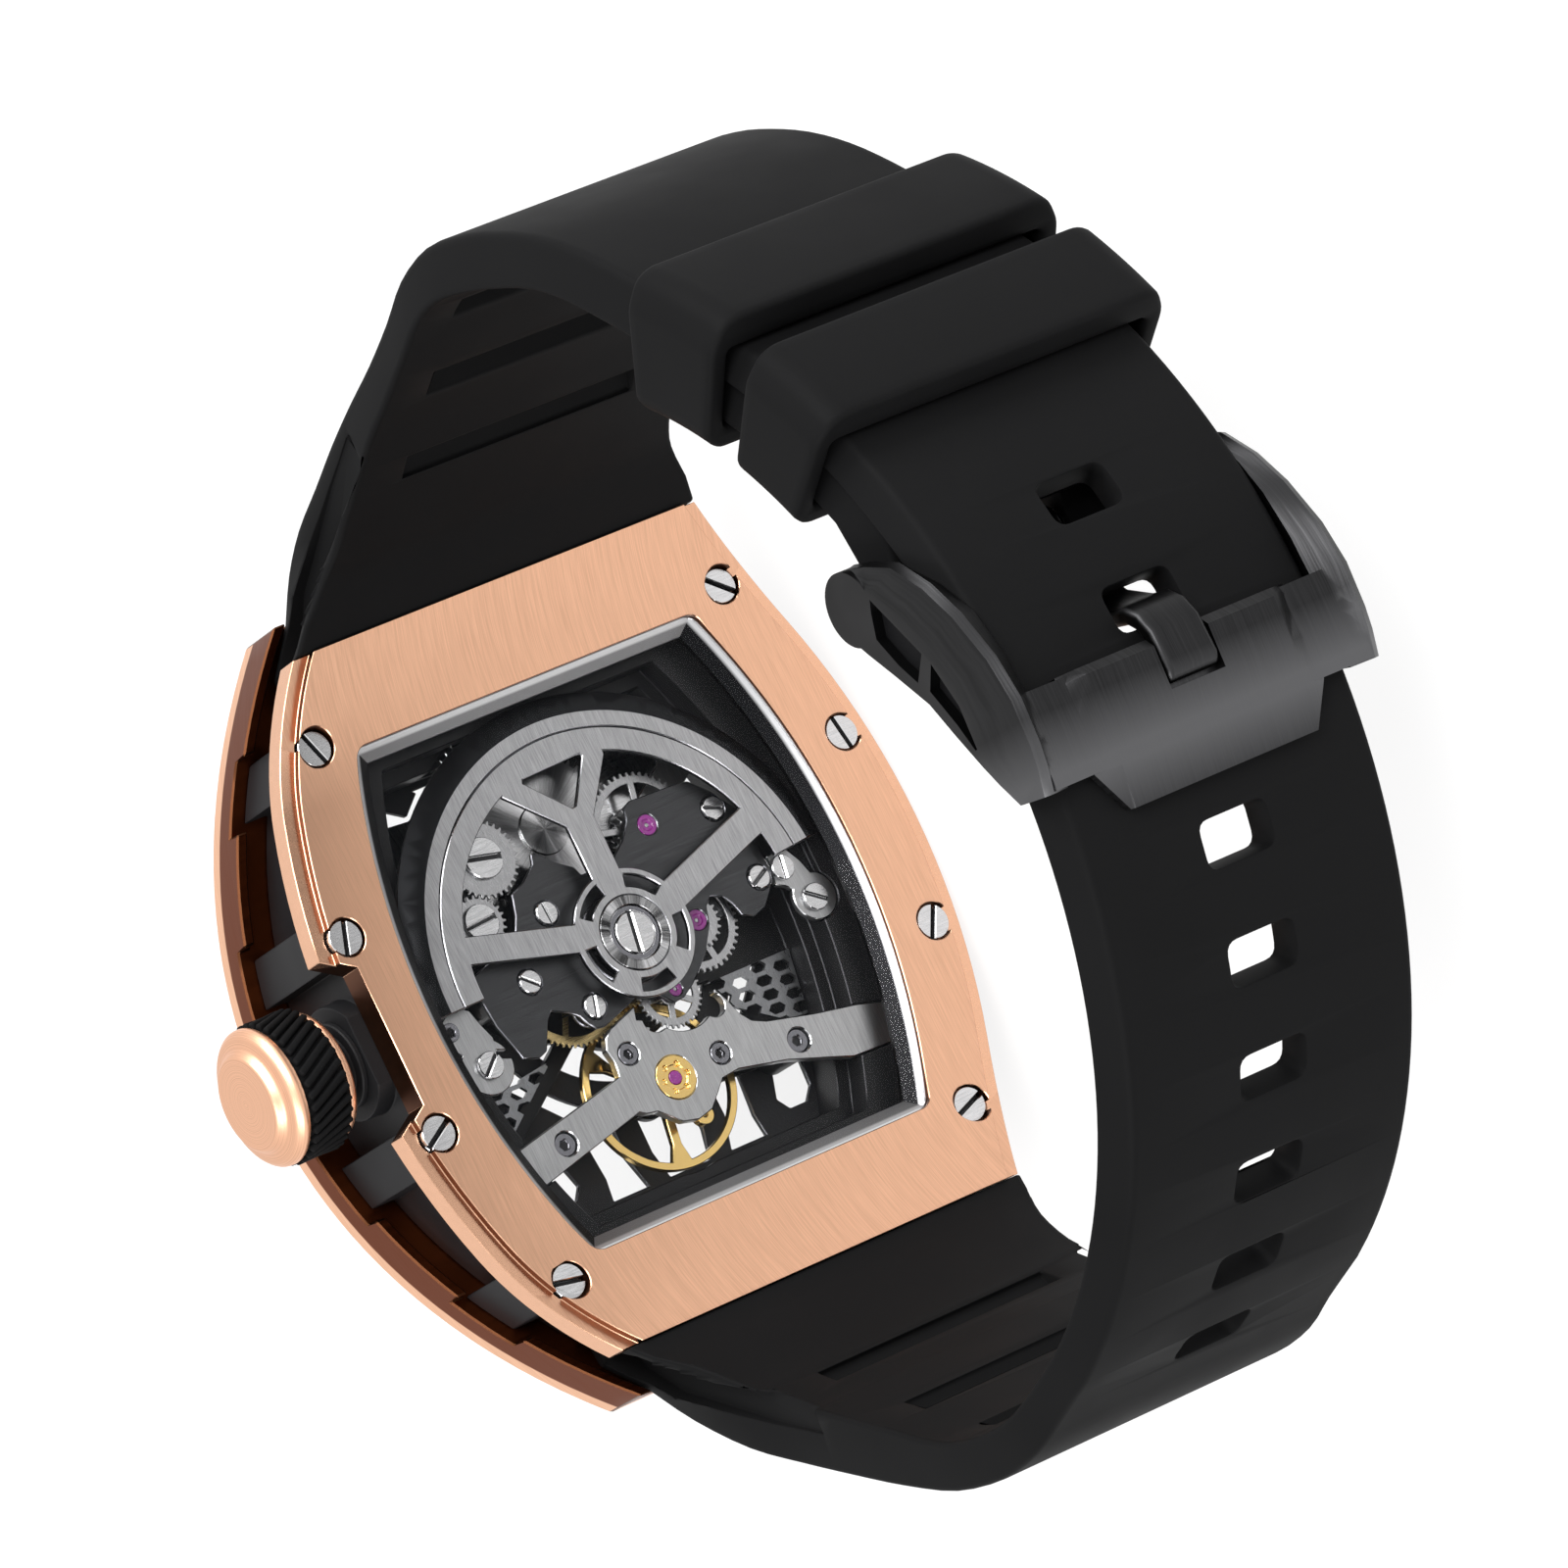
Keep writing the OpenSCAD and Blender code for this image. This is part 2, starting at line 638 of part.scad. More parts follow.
module train_bridge() {
  color("#3a3c3f") difference() {
    slab(3.3, 3.58) difference() {
      union() {
        circle(1.5);
        link([0, 0], [9.4, -0.1], 2.2);
        link([0, 0], [4.07, -2.9], 2.0);
        link([0, 0], [4.31, 3.36], 1.6);
        link([0, 0], [-10.3, 0.42], 2.4);
        link([-10.3, 0.42], [-9.46, 5.34], 1.7);
        translate(tc) circle(1.1);
        translate(j2) circle(1.0);
      }
      translate(j3) circle(2.6);
    }
    rod([0, 0], 0.22, 3.38, 4);
    rod(tc, 0.2, 3.38, 4);
    rod(j2, 0.2, 3, 3.53);
    for (p = bridge_screw_at) rod([p[0], p[1]], 0.42 * p[2] + 0.05, 3, 4);
  }
}

module barrel_bridge() {
  color("#6d7073") difference() {
    union() {
      slab(3.95, 4.3) union() {
        translate(bc) circle(3.0);
        link(bc, [-4.8, 5.94], 2.2);
        link(bc, g1, 2.6);
        link(g1, g2, 2.4);
        link(g1, [10.4, 8.6], 2.0);
        link([-4.8, 5.94], [-10.8, 9.6], 2.0);
      }
    }
    rod(bc, 0.9, 3, 5);
    rod(j1, 0.2, 3, 5);
    rod(g1, 0.24, 3, 5);
    rod(g2, 0.24, 3, 5);
  }
}

module balance_cock() {
  color("#8d9092") difference() {
    slab(2.4, 3.1) difference() {
      polygon([[13.17, -9.03], [4.57, -7.34], [4.45, -6.4], [4.6, -5.6], [4.3, -4.9],
        [3.7, -4.5], [1.25, -3.72], [-3.1, -4.3], [-3.6, -4.45], [-4.1, -4.75], [-4.55, -5.6],
        [-4.9, -6.6], [-5.5, -7.35], [-6.3, -7.7], [-9.9, -8.5], [-12.6, -8.95],
        [-14.4, -9.4], [-14.0, -11.9], [-11.0, -11.8], [-6.6, -10.4], [-3.2, -9.72],
        [-1.9, -9.85], [-1.1, -10.6], [-0.3, -11.3], [0.81, -11.55], [1.9, -11.3],
        [2.7, -10.6], [3.2, -10.15], [4.0, -10.0], [4.4, -9.75], [12.6, -11.6]]);
      translate(j3) circle(2.62);
      polygon([[1.3, -3.0], [-0.6, -3.0], [1.1, -4.9], [1.8, -4.6]]);
      translate([-3.55, -5.6]) circle(0.75);
      translate([0.6, -4.95]) circle(0.85);
    }
    rod(bal, 1.37, 2, 3.4);
    rod([3.32, -6.29], 0.72, 2, 2.95);
    rod([-2.52, -8.41], 0.72, 2, 2.95);
    rod([3.32, -6.29], 0.28, 2, 4);
    rod([-2.52, -8.41], 0.28, 2, 4);
    rod([9.89, -9.75], 0.78, 2, 2.9);
    rod([-7.93, -9.55], 0.78, 2, 2.9);
    rod([9.89, -9.75], 0.45, 2, 4);
    rod([-7.93, -9.55], 0.45, 2, 4);
  }
}

module cock_screws() {
  color("#b8babc") {
    for (p = [[3.32, -6.29], [-2.52, -8.41]]) socketed(p, 2.42, 0.66, 0.5, 0.24, 0.9);
    for (p = [[9.89, -9.75], [-7.93, -9.55]]) socketed(p, 2.62, 0.72, 0.26, 0.42, 1.6);
    socketed([13.9, -1.0], 2.2, 0.6, 0.33, 0.25, 1.0);
  }
}

module pallet_bridge() {
  color("#4b4d50") difference() {
    union() {
      slab(3.62, 3.92) {
        link([3.32, -6.29], pal, 1.0);
        link(pal, [-2.52, -8.41], 1.0);
      }
      rod([3.32, -6.29], 0.6, 3.12, 3.9);
      rod([-2.52, -8.41], 0.6, 3.12, 3.9);
    }
    rod(pal, 0.16, 3, 4);
    rod([3.32, -6.29], 0.28, 2, 5);
    rod([-2.52, -8.41], 0.28, 2, 5);
  }
}

module jewels() {
  color("#a5308a") {
    for (p = [j1, j2]) difference() {
      rod(p, 0.64, 2.38, 2.62);
      rod(p, 0.14, 2, 3);
      rod(p, 0.36, 2, 2.45);
    }
    difference() {
      rod(j3, 0.44, 2.38, 2.62);
      rod(j3, 0.14, 2, 3);
    }
    rod(bal, 0.42, 2.44, 2.7);
  }
}

module shock_setting() {
  color("#d9b254") difference() {
    rod(bal, 1.35, 2.38, 3.1);
    rod(bal, 0.78, 2, 2.5);
    rod(bal, 0.44, 2, 2.72);
    rod(bal, 0.16, 2, 4);
    for (a = [0:60:300]) rod(bal + 0.86 * [cos(a), sin(a)], 0.17, 2, 2.6);
  }
}

module regulator() {
  color("#d9b254") {
    tube([-0.12, -11.35], 0.2, 0.62, 3.14, 3.8);
    slab(3.14, 3.4) difference() {
      link([-0.12, -11.35], [0.55, -9.9], 0.6);
      translate([-0.12, -11.35]) circle(0.4);
      translate(bal) circle(0.6);
    }
  }
}

module crown_levers() {
  color("#8f9294") difference() {
    union() {
      slab(2.55, 3.0) polygon([[11.9, -0.2], [12.3, 0.1], [13.6, 0.0], [14.6, -0.6], [14.5, -1.6],
        [13.6, -2.6], [12.6, -2.9], [12.0, -3.0], [11.4, -3.0], [11.2, -2.2], [11.6, -1.2]]);
      rod([12.4, -3.7], 1.75, 2.55, 3.0);
      rod([-13.5, -1.9], 1.5, 2.55, 3.0);
      slab(2.55, 3.0) polygon([[-11.6, 1.4], [-12.9, 1.6], [-13.6, 0.4], [-14.2, -1.4],
        [-12.9, -1.6], [-11.9, -0.7], [-11.3, -0.4]]);
    }
    rod([13.9, -1.0], 0.3, 2, 4);
    rod([12.3, -3.7], 0.36, 2, 4);
    rod([-13.37, -2.0], 0.36, 2, 4);
    rod([-12.14, 0.42], 0.33, 2, 4);
    translate([10.9, -3.4, 2]) rotate([0, 0, 20]) translate([-0.6, -0.25, 0]) cube([1.2, 0.5, 2]);
  }
}

module winding_screws() {
  color("#e2e4e6") {
    slotted(g1, 2.2, 1.3, 0.27, 0.22, 1.75, 12);
    slotted(g2, 2.2, 1.15, 0.27, 0.22, 1.75, -4);
    slotted([12.3, -3.7], 2.22, 0.85, 0.3, 0.32, 1.0, 140);
    slotted([-13.37, -2.0], 2.22, 0.85, 0.3, 0.32, 1.0, 35);
  }
}

// ---------------------------------------------------------------- rotor
module sector2d(r, a0, a1) {
  intersection() {
    circle(r, $fn = 200);
    polygon([[0, 0], 40 * [cos(a0), sin(a0)], 60 * [cos((2 * a0 + a1) / 3), sin((2 * a0 + a1) / 3)],
      60 * [cos((a0 + 2 * a1) / 3), sin((a0 + 2 * a1) / 3)], 40 * [cos(a1), sin(a1)]]);
  }
}

rotor_a0 = -1;
rotor_a1 = 175;
groove_r = 12.9;

module rotor_plate() {
  color("#b7b9bb") translate([rc[0], rc[1], 1.15]) linear_extrude(0.4) difference() {
    union() {
      difference() {
        sector2d(groove_r - 0.03, rotor_a0, rotor_a1);
        circle(11.4, $fn = 200);
      }
      circle(4.05);
      rotate(14.3) translate([3.5, -0.875]) square([8.2, 1.75]);
      rotate(162) translate([3.5, -1.0]) square([8.2, 2.0]);
      difference() {
        polygon([[-0.95, 3.6], [1.1, 3.6], [1.1, 7.4], [4.3, 10.5], [4.3, 11.0], [3.6, 11.3],
          [-2.9, 11.5], [-3.46, 10.9], [-3.46, 10.6], [-0.95, 7.4]]);
        polygon([[2.5, 11.05], [-1.9, 11.2], [-2.0, 11.0], [-0.1, 8.35], [0.2, 8.3], [2.6, 10.8]]);
      }
    }
    circle(2.36);
    for (k = [0:4]) rotate(54 + 72 * k) difference() {
      sector2d(3.65, -20, 20);
      circle(2.85);
    }
  }
}

module rotor_weight() {
  color("#8c8e91") translate([rc[0], rc[1], 0]) intersection() {
    rotate_extrude($fn = 240) polygon([[groove_r + 0.03, 1.15], [13.9, 1.15], [rotor_r, 1.95],
      [rotor_r, 2.15], [12.2, 2.15], [12.2, 1.6], [groove_r + 0.03, 1.6]]);
    slab(0, 4) sector2d(20, rotor_a0, rotor_a1);
  }
}

module rotor_bearing() {
  color("#c9cbcd") {
    tube(rc, 1.74, 2.33, 1.12, 2.95);
    translate([rc[0], rc[1], 2.72]) linear_extrude(0.2) difference() {
      gear2d(n_rot, m_a * n_rot / 2, 0);
      circle(2.3);
    }
  }
}

module bearing_core() {
  color("#9a9c9e") difference() {
    rod(rc, 1.7, 1.2, 3.28);
    rod(rc, 1.34, 1.0, 1.45);
    rod(rc, 0.5, 1.0, 3.0);
  }
}

module rotor_screw() {
  color("#dcdee0") slotted(rc, 1.12, 1.3, 0.3, 0.46, 1.3, 100);
}

// ---------------------------------------------------------------- winding train
module reversing_wheel() {
  color("#b5b7ba") {
    gear(j2, n_rev, m_a * n_rev / 2, a_rev, 2.72, 2.92, 0);
    spoked(j2, n_rev2, m_b * n_rev2 / 2, 0, 3.0, 3.2, 2.45, 0.8, 3, 0.45, 20);
    rod(j2, 0.5, 2.8, 3.1);
    rod(j2, 0.12, 2.46, 3.5);
  }
}

module reduction_wheel() {
  color("#c7b58a") {
    spoked(j1, n_red, m_b * n_red / 2, a_red, 3.0, 3.2, 2.85, 1.0, 4, 0.4, 12);
    gear(j1, n_redp, m_c * n_redp / 2, 0, 3.2, 3.85, 0);
    rod(j1, 0.12, 2.46, 4.2);
  }
}

module ratchet_wheel() {
  color("#d8dadc") {
    gear(bc, n_rat, m_c * n_rat / 2, a_rat, 3.62, 3.84, 0);
    rod(bc, 1.6, 3.45, 3.7);
    rod(bc, 0.87, 3.7, 6.7);
  }
}

module winding_wheel_1() {
  color("#d8dadc") {
    gear(g1, n_w1, m_d * n_w1 / 2, 0, 2.5, 2.72, 0.27);
    tube(g1, 0.27, 0.6, 2.7, 3.6);
    gear(g1, n_w1p, m_c * n_w1p / 2, a_w1p, 3.55, 3.85, 0.27);
  }
}

module winding_wheel_2() {
  color("#d8dadc") {
    gear(g2, n_w2, m_d * n_w2 / 2, a_w2, 2.5, 2.72, 0.27);
    tube(g2, 0.27, 0.6, 2.7, 3.9);
  }
}

// ---------------------------------------------------------------- going train
module mainspring_barrel() {
  color("#c9b27a") difference() {
    union() {
      gear(bc, n_bar, m_e * n_bar / 2, 0, 4.42, 5.2, 0);
      rod(bc, 6.8, 4.42, 5.85);
    }
    rod(bc, 0.9, 4, 7);
    translate([bc[0], bc[1], 4.62]) linear_extrude(1.0) difference() {
      circle(6.4);
      circle(1.6);
    }
  }
}

module centre_wheel() {
  color("#c9b27a") {
    gear([0, 0], n_cp, m_e * n_cp / 2, a_cp, 4.42, 5.9, 0.26);
    difference() {
      spoked([0, 0], n_cw, m_f * n_cw / 2, 0, 6.0, 6.16, 3.2, 0.8, 5, 0.4, 0);
      rod([0, 0], 0.26, 5, 7);
    }
    tube([0, 0], 0.26, 0.4, 5.8, 9.0);
    gear([0, 0], n_can, m_h * n_can / 2, 0, 7.14, 7.36, 0.26);
  }
}

module third_wheel() {
  color("#c9b27a") {
    spoked(tc, n_tw, m_j * n_tw / 2, 0, 4.1, 4.26, 3.2, 0.7, 5, 0.35, 10);
    gear(tc, n_tp, m_f * n_tp / 2, a_tp, 5.93, 6.24, 0);
    rod(tc, 0.25, 4.0, 6.1);
    rod(tc, 0.14, 3.42, 6.6);
  }
}

module fourth_wheel() {
  color("#c9b27a") {
    spoked([0, 0], n_fw, m_g * n_fw / 2, 0, 3.92, 4.04, 3.1, 0.7, 5, 0.35, 30);
    gear([0, 0], n_fp, m_j * n_fp / 2, a_fp, 4.0, 4.34, 0);
    rod([0, 0], 0.18, 3.42, 9.5);
  }
}

module escape_wheel() {
  color("#b9bbbe") {
    spoked(j3, 36, 2.15, 0, 3.24, 3.42, 1.6, 0.7, 5, 0.4, 0);
    gear(j3, n_ep, m_g * n_ep / 2, a_ep, 3.7, 4.1, 0);
    rod(j3, 0.22, 3.3, 4.4);
    rod(j3, 0.12, 2.46, 6.6);
  }
}

module pallet_fork() {
  color("#b9bbbe") translate([pal[0], pal[1], 0]) rotate([0, 0, 119.1]) {
    slab(3.24, 3.42) {
      translate([-1.75, -0.14]) square([2.2, 0.28]);
      translate([-2.05, -0.36]) square([0.34, 0.18]);
      translate([-2.05, 0.18]) square([0.34, 0.18]);
      translate([-1.8, -0.36]) square([0.16, 0.72]);
      circle(0.4);
      translate([0.1, -1.5]) square([0.28, 3.0]);
      translate([0.1, -1.5]) square([0.5, 0.22]);
      translate([0.1, 1.28]) square([0.5, 0.22]);
    }
    rod([0, 0], 0.13, 3.14, 3.86);
  }
}

module balance_wheel() {
  color("#dcb65c") {
    translate([bal[0], bal[1], 4.5]) linear_extrude(0.5) {
      difference() {
        circle(balance_r, $fn = 120);
        circle(balance_r - 0.5, $fn = 120);
      }
      circle(0.75);
      for (a = [-80, 40, 160]) rotate(a)
        polygon([[0, -0.3], [3.6, -0.3], [4.9, -0.75], [4.9, 0.75], [3.6, 0.3], [0, 0.3]]);
    }
    rod(bal, 0.45, 3.6, 4.6);
    rod(bal, 0.7, 3.62, 3.8);
    rod(bal, 0.13, 2.76, 6.6);
  }
}

module hairspring() {
  color("#3b4a6b") translate([bal[0], bal[1], 3.97]) linear_extrude(0.25) union() {
    polygon(concat(
      [for (i = [0:44]) (0.56 + 1.2 * i / 44) * [cos(i * 24), sin(i * 24)]],
      [for (i = [44:-1:0]) (0.48 + 1.2 * i / 44) * [cos(i * 24), sin(i * 24)]]));
    difference() {
      circle(0.56);
      circle(0.47);
    }
  }
}

// ---------------------------------------------------------------- motion work and hands
module hour_wheel() {
  color("#c9b27a") {
    gear([0, 0], n_hw, m_i * n_hw / 2, a_hw, 7.42, 7.58, 0.45);
    tube([0, 0], 0.45, 0.7, 7.5, 8.45);
  }
}

module minute_wheel() {
  color("#c9b27a") {
    gear(mc, n_mw, m_h * n_mw / 2, a_mw, 7.17, 7.32, 0);
    gear(mc, n_mp, m_i * n_mp / 2, 0, 7.3, 7.6, 0);
    rod(mc, 0.16, 6.7, 7.3);
  }
}

module hand(z0, z1, l, w, back, bore) {
  difference() {
    union() {
      rod([0, 0], 1.1, z0, z1);
      slab(z0, z1) polygon([[-back, -w * 0.4], [-back, w * 0.4], [0, w * 0.45],
        [l * 0.82, w / 2], [l, 0], [l * 0.82, -w / 2], [0, -w * 0.45]]);
    }
    rod([0, 0], bore, z0 - 1, z1 + 1);
    slab(z0 - 1, z1 + 1) translate([l * 0.3, -w * 0.18]) square([l * 0.42, w * 0.36]);
  }
}

// the hands show about ten past ten
module hour_hand() {
  color("#e7e4dc") rotate([0, 0, 145]) hand(8.3, 8.5, 8.2, 1.5, 2, 0.74);
}

module minute_hand() {
  color("#e7e4dc") rotate([0, 0, 30]) hand(8.75, 8.95, 11.8, 1.2, 2.4, 0.43);
}

module seconds_hand() {
  color("#c8452f") slab(9.2, 9.36) rotate(76) difference() {
    union() {
      circle(0.8);
      translate([-3.5, -0.16]) square([15.4, 0.32]);
    }
    circle(0.21);
  }
}

// ---------------------------------------------------------------- crown
module crown_turned(profile) {
  translate([0, 0, crown_z]) rotate([0, 90, 0]) rotate_extrude($fn = 120) polygon(profile);
}

module crown_cap() {
  x = crown_x;
  color("#dda682") crown_turned([[2.32, x], [3.7, x], [4.0, x + 0.2], [4.0, x + 0.6],
    [3.4, x + 0.6], [3.4, x + 3.75], [crown_r, x + 3.75], [crown_r, x + 4.2],
    [crown_r - 0.35, x + 4.6], [3.3, x + 4.75], [2.9, x + 5.3], [0, x + 5.35], [0, x + 2.45],
    [2.32, x + 2.45]]);
}

module crown_grip() {
  x = crown_x;
  color("#17181a") difference() {
    crown_turned([[3.44, x + 0.65], [4.2, x + 0.65], [4.35, x + 0.85], [4.35, x + 3.45],
      [4.25, x + 3.71], [3.44, x + 3.71]]);
    for (i = [0:crown_flutes - 1]) translate([0, 0, crown_z]) rotate([i * 360 / crown_flutes, 0, 0])
      translate([x + 2.2, 0, 4.35]) rotate([0, 0, 28]) cube([1.9, 0.36, 0.5], center = true);
  }
}

module crown_gasket() {
  x = crown_x + 1.15;
  color("#17181a") crown_turned([[2.04, x], [2.28, x], [2.28, x + 0.5], [2.04, x + 0.5]]);
}

module crown_tube() {
  x = case_half_w - cav_inset + gap;
  color("#2b2c2e") crown_turned([[0.66, x], [1.45, x], [1.45, boss_x + gap], [2.7, boss_x + gap],
    [2.7, boss_x + 0.4], [2.0, boss_x + 0.45], [2.0, crown_x + 1.95], [0.66, crown_x + 1.95]]);
}

module winding_stem() {
  color("#9a9c9e") translate([0, 0, crown_z]) rotate([0, 90, 0])
    translate([0, 0, stem_x]) cylinder(r = 0.6, h = crown_x + 2.45 - gap - stem_x);
}

// ---------------------------------------------------------------- strap
function loop_pt(r, a) = [loop_c[0] + r * sin(a), loop_c[1] - r * cos(a)];
function station(ro, ri, a, wi, wo) = concat(loop_pt(ro, a), loop_pt(ri, a), [wi, wo]);

// height of the strap end under the bezel
function lip(y) = bezel_c + sqrt(bezel_in_r * bezel_in_r - y * y) - 0.1;

// stations: outer y z, inner y z, half widths on the wrist side and outside
st_12h = concat([
  [20.62, lip(20.62), 20.62, 0.95, 13.1, 13.0],
  [22.52, lip(22.52), 22.52, 0.02, 14.0, 13.4],
  [22.56, lip(22.56), 22.56, -2.35, 15.0, 13.4],
  [bezel_half_l, lip(bezel_half_l), 23.9, -3.7, 14.4, 12.0],
  [27.6, -0.1, 25.6, -5.5, 13.2, 11.9],
  [29.4, -3.2, 26.7, -7.3, 12.6, 11.9],
  [31.0, -6.5, 27.9, -9.3, 12.4, 11.5],
  [32.5, -9.9, 29.3, -11.9, 12.2, 11.3],
  [33.8, -13.3, 30.9, -14.9, 12.0, 11.1],
  [35.0, -16.8, 32.2, -18.0, 11.8, 10.9],
  [36.4, -20.2, 33.6, -21.2, 11.6, 10.7],
  [37.9, -23.5, 34.9, -24.3, 11.5, 10.6],
  [38.5, -27.1, 35.3, -27.0, 11.4, 10.5],
  [37.9, -30.8, 34.8, -29.9, 11.3, 10.4],
  [36.8, -34.2, 33.8, -33.2, strap_half_in, strap_half_out],
  [35.3, -37.6, 32.6, -36.3, strap_half_in, strap_half_out],
  [33.4, -40.7, 31.0, -38.9, strap_half_in, strap_half_out],
  [31.1, -43.6, 28.8, -41.5, strap_half_in, strap_half_out]],
  [station(37.3, 34.2, 55.2, strap_half_in, strap_half_out),
   station(36.6, 33.2, 53.4, strap_half_in - 0.05, strap_half_out),
   station(34.5, 32.6, 51.9, strap_half_in - 0.1, strap_half_out - 0.05),
   station(34.5, 32.15, 48.9, strap_half_in - 0.15, strap_half_out - 0.1)]);

st_6h = concat([
  [-20.62, lip(20.62), -20.62, 0.95, 13.1, 13.0],
  [-22.52, lip(22.52), -22.52, 0.02, 14.0, 13.4],
  [-22.56, lip(22.56), -22.56, -2.35, 15.0, 13.4],
  [-bezel_half_l, lip(bezel_half_l), -23.7, -3.4, 14.4, 12.0],
  [-28.0, -0.3, -25.4, -5.4, 13.2, 11.9],
  [-31.0, -4.5, -27.5, -8.0, 12.5, 11.8],
  [-33.2, -8.5, -29.4, -10.9, 12.2, 11.4],
  [-35.2, -12.7, -31.4, -14.6, 12.0, 11.2],
  [-37.1, -16.9, -33.5, -18.7, 11.8, 11.0],
  [-38.7, -21.3, -35.6, -22.8, 11.6, 10.8],
  [-39.3, -25.9, -36.4, -26.1, 11.4, 10.6],
  [-38.95, -30.0, -36.45, -29.8, 11.3, 10.5]],
  [station(tail_r, tail_r - tail_t, -77, strap_half_in, strap_half_out)]);

// skin through the stations, four corners each
module skin(st, flip) {
  n = len(st);
  pts = [for (s = st) for (c = [[-s[4], s[2], s[3]], [s[4], s[2], s[3]], [s[5], s[0], s[1]],
    [-s[5], s[0], s[1]]]) c];
  quads = concat([[0, 1, 2, 3]], [[4 * n - 1, 4 * n - 2, 4 * n - 3, 4 * n - 4]],
    [for (i = [0:n - 2]) for (k = [0:3]) for (t = [0, 1]) let (a = 4 * i + k, b = 4 * i + (k + 1) % 4)
      t == 0 ? [a, a + 4, b] : [b, a + 4, b + 4]]);
  polyhedron(pts, flip ? [for (q = quads) [for (j = [len(q) - 1:-1:0]) q[j]]] : quads);
}

module band2d(r0, r1, w0, w1) { polygon([[r0, -w0], [r0, w0], [r1, w1], [r1, -w1]]); }

// recess along the flank of the strap near the case
module flank_recess(side) {
  for (s = [-1, 1]) along_x(s > 0 ? 11.5 : -17, s > 0 ? 17 : -11.5)
    polygon([[side * 21.6, 3.4], [side * 23.8, 2.4], [side * 26.2, -0.4], [side * 28.2, -4.4],
      [side * 30.3, -8.4], [side * 32.2, -12.6], [side * 30.3, -13.4], [side * 28.4, -9.2],
      [side * 26.6, -5.6], [side * 24.6, -3.2], [side * 23.2, -1.9], [side * 21.6, 1.2]]);
}

module strap_12h() {
  color("#1c1d1f") difference() {
    union() {
      skin(st_12h, true);
      about_x(loop_c, 24, 49.6) band2d(32.0, 34.6, strap_half_in - 0.05, strap_half_out);
      // end that turns round the spring bar
      along_x(-strap_half_out + 0.1, strap_half_out - 0.1) polygon([loop_pt(32.15, 24.6),
        loop_pt(34.45, 24.6), loop_pt(33.6, 20.5), loop_pt(31.9, 17.5), loop_pt(28.7, 17.0),
        loop_pt(29.7, 20.5)]);
      along_x(-strap_half_out + 0.1, strap_half_out - 0.1) translate(pivot) circle(1.6);
    }
    along_x(-20, 20) translate(pivot) circle(bar_r + run);
    // slot for the tongue
    along_x(-2.2, 2.2) polygon([loop_pt(27, 23), loop_pt(36, 23), loop_pt(36, 8), loop_pt(27, 8)]);
    for (q = [[29.3, -11.9, 55], [32.4, -18.4, 65], [34.95, -24.7, 72]])
      translate([0, q[0], q[1]]) rotate([q[2] - 90, 0, 0]) cube([17, 1.5, 1.6], center = true);
    flank_recess(1);
  }
}

module strap_6h() {
  color("#1c1d1f") difference() {
    union() {
      skin(st_6h, false);
      about_x(loop_c, -77.5, 51) band2d(tail_r - tail_t, tail_r, strap_half_in, strap_half_out);
    }
    for (k = [-1:hole_count - 2]) translate([0, loop_c[0], loop_c[1]])
      rotate([hole_0 - hole_step * k, 0, 0]) translate([0, 0, -38]) linear_extrude(6) {
        square([4.8, 1.4], center = true);
        square([3.4, 2.8], center = true);
        for (s = [-1, 1]) for (t = [-1, 1]) translate([1.7 * s, 0.7 * t]) circle(0.7, $fn = 24);
      }
    for (q = [[-29.2, -10.5, -57], [-33.1, -17.8, -65], [-36.0, -24.0, -72]])
      translate([0, q[0], q[1]]) rotate([90 + q[2], 0, 0]) cube([17, 1.5, 1.6], center = true);
    flank_recess(-1);
  }
}

module keeper(a) {
  about_x(loop_c, a[0], a[1]) difference() {
    polygon([[30.6, -11.6], [31.6, -12.6], [37.2, -12.6], [38.7, -11.9], [keeper_r, -10.9],
      [keeper_r, 10.9], [38.7, 11.9], [37.2, 12.6], [31.6, 12.6], [30.6, 11.6]]);
    band2d(31.93, 37.05, 11.3, 11.3);
  }
}

module fixed_keeper() { color("#1c1d1f") keeper(keeper_fix); }

module sliding_keeper() { color("#1c1d1f") keeper(keeper_slide); }

// ---------------------------------------------------------------- buckle
// skin through sections at loop angles, each a list of [x, radius] points
module loop_skin(secs) {
  n = len(secs);
  m = len(secs[0][1]);
  pts = [for (q = secs) for (c = q[1]) concat([c[0]], loop_pt(c[1], q[0]))];
  faces = concat([[for (k = [0:m - 1]) k]], [[for (k = [0:m - 1]) n * m - 1 - k]],
    [for (i = [0:n - 2]) for (k = [0:m - 1]) for (t = [0, 1])
      let (a = m * i + k, b = m * i + (k + 1) % m) t == 0 ? [a, a + m, b + m] : [a, b + m, b]]);
  polyhedron(pts, faces);
}

// section of an arm: low edge, rim and ridge radii, and the inner top corner
function arm_in(r) = 11.38 - max(0, r - 34.6) * 0.38;
function knee(lo, ri) = lo > 34.3 ? (lo + ri - 0.4) / 2 : min(34.6, ri - 0.75);
function arm(a, lo, rim, top, ri) = [a, [[arm_in(lo), lo], [buckle_half_w, lo],
  [buckle_half_w, rim], [12.1, top - 0.3], [11.6, top], [arm_in(ri), ri],
  [arm_in(ri - 0.4), ri - 0.4], [arm_in(knee(lo, ri)), knee(lo, ri)]]];

